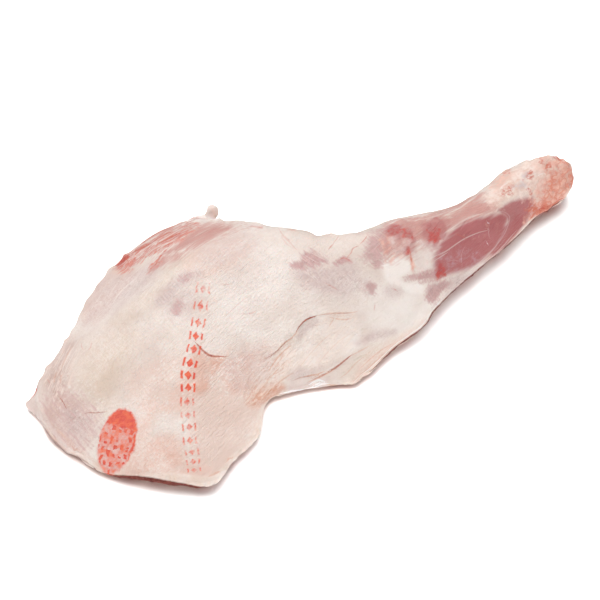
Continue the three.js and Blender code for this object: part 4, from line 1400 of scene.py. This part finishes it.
def patch(field, name, ragged, most):
    """How much a field covers, with an edge made ragged by a pattern."""
    level = add_node(tree, "ShaderNodeAttribute", attribute_name=field)["Fac"]
    rough = calculate("MULTIPLY_ADD", pattern[name], ragged, level)
    near = between(level, -LEVEL_LIMIT, -LEVEL_LIMIT / 2)
    return calculate("MULTIPLY", between(rough, ragged / 2 - 1, ragged / 2 + 1, most), near)


# Fat with fine pale threads in its skin, then the layers over it
colour = shades(*FAT_COLOURS, "cloud")
for field, darker, lighter, name, ragged, most in FAT_LAYERS:
    colour = blend(patch(field, name, ragged, most), colour, shades(darker, lighter, name))
for name in ("streaks", "grain", "weave"):
    off_ridge = calculate("ABSOLUTE", calculate("SUBTRACT", pattern[name], 0.5))
    shown = between(pattern["cloud"], *THREAD_CLOUD)
    threads = calculate("MULTIPLY", between(off_ridge, THREAD_WIDTH, 0.0, THREAD_COVER), shown)
    colour = blend(threads, colour, shades(THREAD_COLOUR, THREAD_COLOUR, "fine"))
for field, darker, lighter, name, ragged, most in FLESH_LAYERS:
    colour = blend(patch(field, name, ragged, most), colour, shades(darker, lighter, name))

# Blood vessels of the knuckle, as crooked seams between cells. The mesh and its bends are in millimetres and
# metres, and the seam's edge goes from nothing to full between two levels.
NET_MESH_MM = 5
NET_BEND = 0.007
NET_SPECKS = 0.5
NET_EDGE = (0.05, 0.35)
NET_RAGGED = 1.5
NET_COVER = 0.65
NET_COLOURS = ("#C4432B", "#D96A4C")
mesh_scale = 1000 / NET_MESH_MM
bend = add_node(tree, "ShaderNodeTexNoise", {"Scale": mesh_scale, "Detail": 3.0}, {"Vector": place})[1]
bent = add_node(tree, "ShaderNodeVectorMath", {1: (NET_BEND,) * 3}, {0: bend, 2: place},
                operation="MULTIPLY_ADD")[0]
cells = add_node(tree, "ShaderNodeTexVoronoi", {"Scale": mesh_scale}, {"Vector": bent},
                 feature="DISTANCE_TO_EDGE")[0]
seam = calculate("MULTIPLY_ADD", pattern["speck"], NET_SPECKS, calculate("SUBTRACT", 0.0, cells))
vessels = calculate("MULTIPLY", between(seam, *NET_EDGE), patch("net", "mottle", NET_RAGGED, NET_COVER))
colour = blend(vessels, colour, shades(*NET_COLOURS, "fine"))

# The cut rim with its painted highlight, then threads with painted highlights and glints, veins, painted
# crease shade and the painted shadow under the edge, as fine lines
colour = blend(patch("rim", "mottle", RIM_RAGGED, RIM_COVER), colour, shades(*RIM_COLOURS, "mottle"))
for field, darker, lighter, most, roughness in LINES:
    line = add_node(tree, "ShaderNodeAttribute", attribute_name=field)["Vector"]
    line = add_node(tree, "ShaderNodeSeparateXYZ", {}, {0: line})
    off_line = calculate("MULTIPLY_ADD", pattern["fine"], roughness, calculate("ABSOLUTE", line[0]))
    covered = calculate("MULTIPLY", between(off_line, *LINE_EDGE, most), line[1])
    colour = blend(covered, colour, shades(darker, lighter, "fine"))

# Ink of the row: a lozenge between two strokes for each mark. Across the row it goes by millimetres, and
# along it by marks. A pair is a slope and a start, for how fast the ink comes in from an edge.
INK_COLOURS = ("#D92A0B", "#EB5C26")
MARK_WOBBLE = 0.4
MARK_SWAY_MM = 2.0
LOZENGE_HALF = 1.25
LOZENGE_ALONG = 2.8
LOZENGE_ACROSS = 0.4
LOZENGE_FILL = 2.0
STROKE_PLACE_MM = 4.1
STROKE_HALF_MM = 1.3
STROKE_ENDS = (-8.0, 3.0)
ink_place = add_node(tree, "ShaderNodeAttribute", attribute_name="ink_row")["Vector"]
row = add_node(tree, "ShaderNodeSeparateXYZ", {}, {0: ink_place})
wobble = calculate("SUBTRACT", pattern["speck"], 0.5)
sway = calculate("SUBTRACT", pattern["mottle"], 0.5)
along = calculate("SUBTRACT", calculate("FRACT", calculate("ADD", row[0], 0.5)), 0.5)
along = calculate("ABSOLUTE", calculate("MULTIPLY_ADD", wobble, MARK_WOBBLE, along))
across = calculate("ABSOLUTE", calculate("MULTIPLY_ADD", sway, MARK_SWAY_MM, row[1]))
lozenge_side = calculate("MULTIPLY", across, LOZENGE_ACROSS)
from_lozenge = calculate("MULTIPLY_ADD", along, LOZENGE_ALONG, lozenge_side)
lozenge = calculate("MULTIPLY", calculate("SUBTRACT", LOZENGE_HALF, from_lozenge), LOZENGE_FILL)
from_stroke = calculate("ABSOLUTE", calculate("SUBTRACT", across, STROKE_PLACE_MM))
stroke_side = calculate("SUBTRACT", STROKE_HALF_MM, from_stroke)
stroke = calculate("MINIMUM", stroke_side, calculate("MULTIPLY_ADD", along, *STROKE_ENDS))
marks = calculate("MINIMUM", calculate("MAXIMUM", calculate("MAXIMUM", lozenge, stroke), 0.0), 1.0)
marks = calculate("MULTIPLY", marks, row[2])

# Ink of the oval: rows of bars of uneven length on a light tint, under a flood of ink at its upper end and
# its left side. Its own lengths go from -1 to 1 across it, and a ripple makes its edge rough.
RIPPLE_MM = 6.25
RIPPLE_REACH = (0.22, 0.34, 0.0)
BAR_ROWS = 3.3
BAR_LENGTHS = 8.5
BAR_SHIFT = 7.3
BAR_ENDS = (9.0, -3.8)
BAR_SIDES = (-6.0, 2.3)
FLOOD_END = (-4.0, -0.9)
FLOOD_SIDE = (-4.0, -2.4)
FLOOD_MOST = 1.3
OVAL_EDGE = 7.0
TINT_EDGE = (0.0, 0.9)
TINT_SPECKS = (0.12, 0.74)
TINT_COVER = 0.85
oval = add_node(tree, "ShaderNodeAttribute", attribute_name="ink_oval")["Vector"]
ripple_scale = 1000 / RIPPLE_MM
ripple = add_node(tree, "ShaderNodeTexNoise", {"Scale": ripple_scale, "Detail": 3.0}, {"Vector": place})[1]
ripple = add_node(tree, "ShaderNodeVectorMath", {1: (0.5, 0.5, 0.5)}, {0: ripple}, operation="SUBTRACT")[0]
oval = add_node(tree, "ShaderNodeVectorMath", {1: RIPPLE_REACH}, {0: ripple, 2: oval},
                operation="MULTIPLY_ADD")[0]
stamp_along, stamp_across, _ = add_node(tree, "ShaderNodeSeparateXYZ", {}, {0: oval})
radius = add_node(tree, "ShaderNodeVectorMath", {}, {0: oval}, operation="LENGTH")["Value"]
bar_row = calculate("MULTIPLY_ADD", stamp_across, BAR_ROWS, 0.5)
from_bar = calculate("ABSOLUTE", calculate("SUBTRACT", calculate("FRACT", bar_row), 0.5))
bar_along = calculate("MULTIPLY", stamp_along, BAR_LENGTHS)
bar_shift = calculate("MULTIPLY", calculate("FLOOR", bar_row), BAR_SHIFT)
bar_spot = add_node(tree, "ShaderNodeCombineXYZ", {}, {0: bar_along, 1: bar_shift})[0]
bar = add_node(tree, "ShaderNodeTexNoise", {"Scale": 1.0, "Detail": 0.0}, {"Vector": bar_spot})[0]
bar_side = calculate("MULTIPLY_ADD", from_bar, *BAR_SIDES)
bars = calculate("MINIMUM", calculate("MULTIPLY_ADD", bar, *BAR_ENDS), bar_side)
bars = calculate("MINIMUM", bars, 1.0)
flood_end = calculate("MULTIPLY_ADD", stamp_along, *FLOOD_END)
flood_side = calculate("MULTIPLY_ADD", stamp_across, *FLOOD_SIDE)
flood = calculate("MINIMUM", calculate("MAXIMUM", flood_end, flood_side), FLOOD_MOST)
within = calculate("MULTIPLY", calculate("SUBTRACT", 1.0, radius), OVAL_EDGE)
stamp = calculate("MINIMUM", calculate("MAXIMUM", bars, flood), within)
tint = between(within, *TINT_EDGE, TINT_COVER)
tint = calculate("MULTIPLY", tint, between(pattern["speck"], *TINT_SPECKS))

# Both inks run a little along the pores and fibres of the fat
INK_IN_PORES = 1.1
INK_IN_FIBRES = 0.5
INK_EDGE = (1.0, 1.75)
INK_COVER = 0.9
ink_level = calculate("MULTIPLY_ADD", pattern["fine"], INK_IN_PORES, calculate("MAXIMUM", marks, stamp))
ink_level = calculate("MULTIPLY_ADD", pattern["streaks"], INK_IN_FIBRES, ink_level)
ink = between(ink_level, *INK_EDGE, INK_COVER)
colour = blend(calculate("MAXIMUM", ink, tint), colour, shades(*INK_COLOURS, "speck"))

# Fine relief that the skin's faces are too large for, as shares of one depth in metres: pores, fibres and
# wrinkles. The moisture lies unevenly, so the skin is glossier in some places than in others.
WRINKLES = {"fine": 0.6, "streaks": 0.7, "grain": 0.5}
WRINKLE_DEPTH = 0.0011
GLOSS_SPAN = {"From Min": 0.3, "From Max": 0.7, "To Min": 0.28, "To Max": 0.5}
WET_MEAT = {
    "Specular IOR Level": 0.3, "Coat Weight": 0.15, "Coat Roughness": 0.12,
    "Subsurface Weight": 0.15, "Subsurface Radius": (1.0, 0.5, 0.35), "Subsurface Scale": 0.003,
}
height = 0.0
for name, share in WRINKLES.items():
    height = calculate("MULTIPLY_ADD", pattern[name], share, height)
bump = add_node(tree, "ShaderNodeBump", {"Strength": 1.0, "Distance": WRINKLE_DEPTH}, {"Height": height})[0]
gloss = add_node(tree, "ShaderNodeMapRange", GLOSS_SPAN, {"Value": pattern["mottle"]})[0]
skin_links = {"Base Color": colour, "Roughness": gloss, "Normal": bump, "Coat Normal": bump}
shader = add_node(tree, "ShaderNodeBsdfPrincipled", WET_MEAT, skin_links)
add_node(tree, "ShaderNodeOutputMaterial", links={"Surface": shader[0]})
shoulder.data.materials.clear()
shoulder.data.materials.append(meat)
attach(shoulder, "root")
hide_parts("lamb_shoulder")

# The floor and the light
# A plain matt white floor under one wide soft light above and behind the meat, a small bright one beside
# it that makes the wet glints, and even light all round. A last light falls on the floor alone and washes it
# out to white. Close to the meat a warm shade is painted into the floor's colour, darkest where the meat
# closes it in. The floor is kept out of the glints.
FLOOR_HALF = 3.0
FLOOR_COLOUR = "#F9FBFB"
FLOOR_ROUGHNESS = 0.9
# The shade: its colours against the meat and farther out, its reach in metres, the way that it looks for the
# meat, and how open the floor is where the shade would be full and where it ends
SHADE_COLOURS = ("#B4481E", "#E2AE8C")
SHADE_REACH = 0.009
SHADE_LEAN = (0.35, 0.55, 0.75)
SHADE_SPAN = {"From Min": -0.45, "From Max": 0.75}
floor_mesh = bpy.data.meshes.new("floor")
corners = [(-FLOOR_HALF, -FLOOR_HALF, 0), (FLOOR_HALF, -FLOOR_HALF, 0),
           (FLOOR_HALF, FLOOR_HALF, 0), (-FLOOR_HALF, FLOOR_HALF, 0)]
floor_mesh.from_pydata(corners, [], [(0, 1, 2, 3)])
floor = bpy.data.objects.new("floor", floor_mesh)
bpy.context.scene.collection.objects.link(floor)
white = bpy.data.materials.new("matt_white_paint")
white.use_nodes = True
paint_tree = white.node_tree
paint_shader = paint_tree.nodes["Principled BSDF"]
shade_lean = add_node(paint_tree, "ShaderNodeCombineXYZ", dict(enumerate(SHADE_LEAN)))[0]
openness = add_node(paint_tree, "ShaderNodeAmbientOcclusion", {"Distance": SHADE_REACH},
                    {"Normal": shade_lean})["AO"]
lit = add_node(paint_tree, "ShaderNodeMapRange", SHADE_SPAN, {"Value": openness},
               interpolation_type="SMOOTHSTEP")[0]
shade_ends = dict(zip((6, 7), map(linear, SHADE_COLOURS)))
shade = add_node(paint_tree, "ShaderNodeMix", shade_ends, {0: lit}, data_type="RGBA")[2]
shaded = add_node(paint_tree, "ShaderNodeMix", {7: linear(FLOOR_COLOUR)}, {0: lit, 6: shade},
                  data_type="RGBA")[2]
paint_tree.links.new(shaded, paint_shader.inputs["Base Color"])
paint_shader.inputs["Roughness"].default_value = FLOOR_ROUGHNESS
floor_mesh.materials.append(white)
floor.visible_glossy = False

# Each light: its place, size in metres and power in watts
LIGHTS = {
    "soft_light": (Vector((-0.05, 0.3, 1.2)), 0.8, 6.0),
    "glint_light": (Vector((0.5, 0.72, 1.0)), 0.12, 1.6),
    "floor_light": (Vector((-0.05, 0.08, 1.4)), 1.1, 29.0),
}
# The brightness and colour of the even light level with the floor and straight above
FILL_LEVEL = 0.25
FILL_ABOVE = 1.0
FILL_LEVEL_COLOUR = "#FFEFE8"
FILL_ABOVE_COLOUR = "#FFFFFF"
lit_floor = bpy.data.collections.new("lit_floor")
lit_floor.objects.link(floor)
for name, (light_place, size, watts) in LIGHTS.items():
    light_data = bpy.data.lights.new(name, "AREA")
    light_data.size = size
    light_data.energy = watts
    light = bpy.data.objects.new(name, light_data)
    light.location = light_place
    light.rotation_mode = "QUATERNION"
    light.rotation_quaternion = (-light_place).to_track_quat("-Z", "Y")
    bpy.context.scene.collection.objects.link(light)
bpy.data.objects["floor_light"].light_linking.receiver_collection = lit_floor
world = bpy.data.worlds.new("even_light")
world.use_nodes = True
sky_tree = world.node_tree
sky = sky_tree.nodes["Background"]
direction = add_node(sky_tree, "ShaderNodeTexCoord")["Generated"]
rise = add_node(sky_tree, "ShaderNodeSeparateXYZ", {}, {0: direction})["Z"]
fill = {"To Min": FILL_LEVEL, "To Max": FILL_ABOVE}
strength = add_node(sky_tree, "ShaderNodeMapRange", fill, {"Value": rise})[0]
sky_tree.links.new(strength, sky.inputs["Strength"])
fill_colours = {6: linear(FILL_LEVEL_COLOUR), 7: linear(FILL_ABOVE_COLOUR)}
fill_colour = add_node(sky_tree, "ShaderNodeMix", fill_colours, {0: rise}, data_type="RGBA")[2]
sky_tree.links.new(fill_colour, sky.inputs["Color"])
bpy.context.scene.world = world
bpy.context.scene.view_settings.view_transform = "Standard"
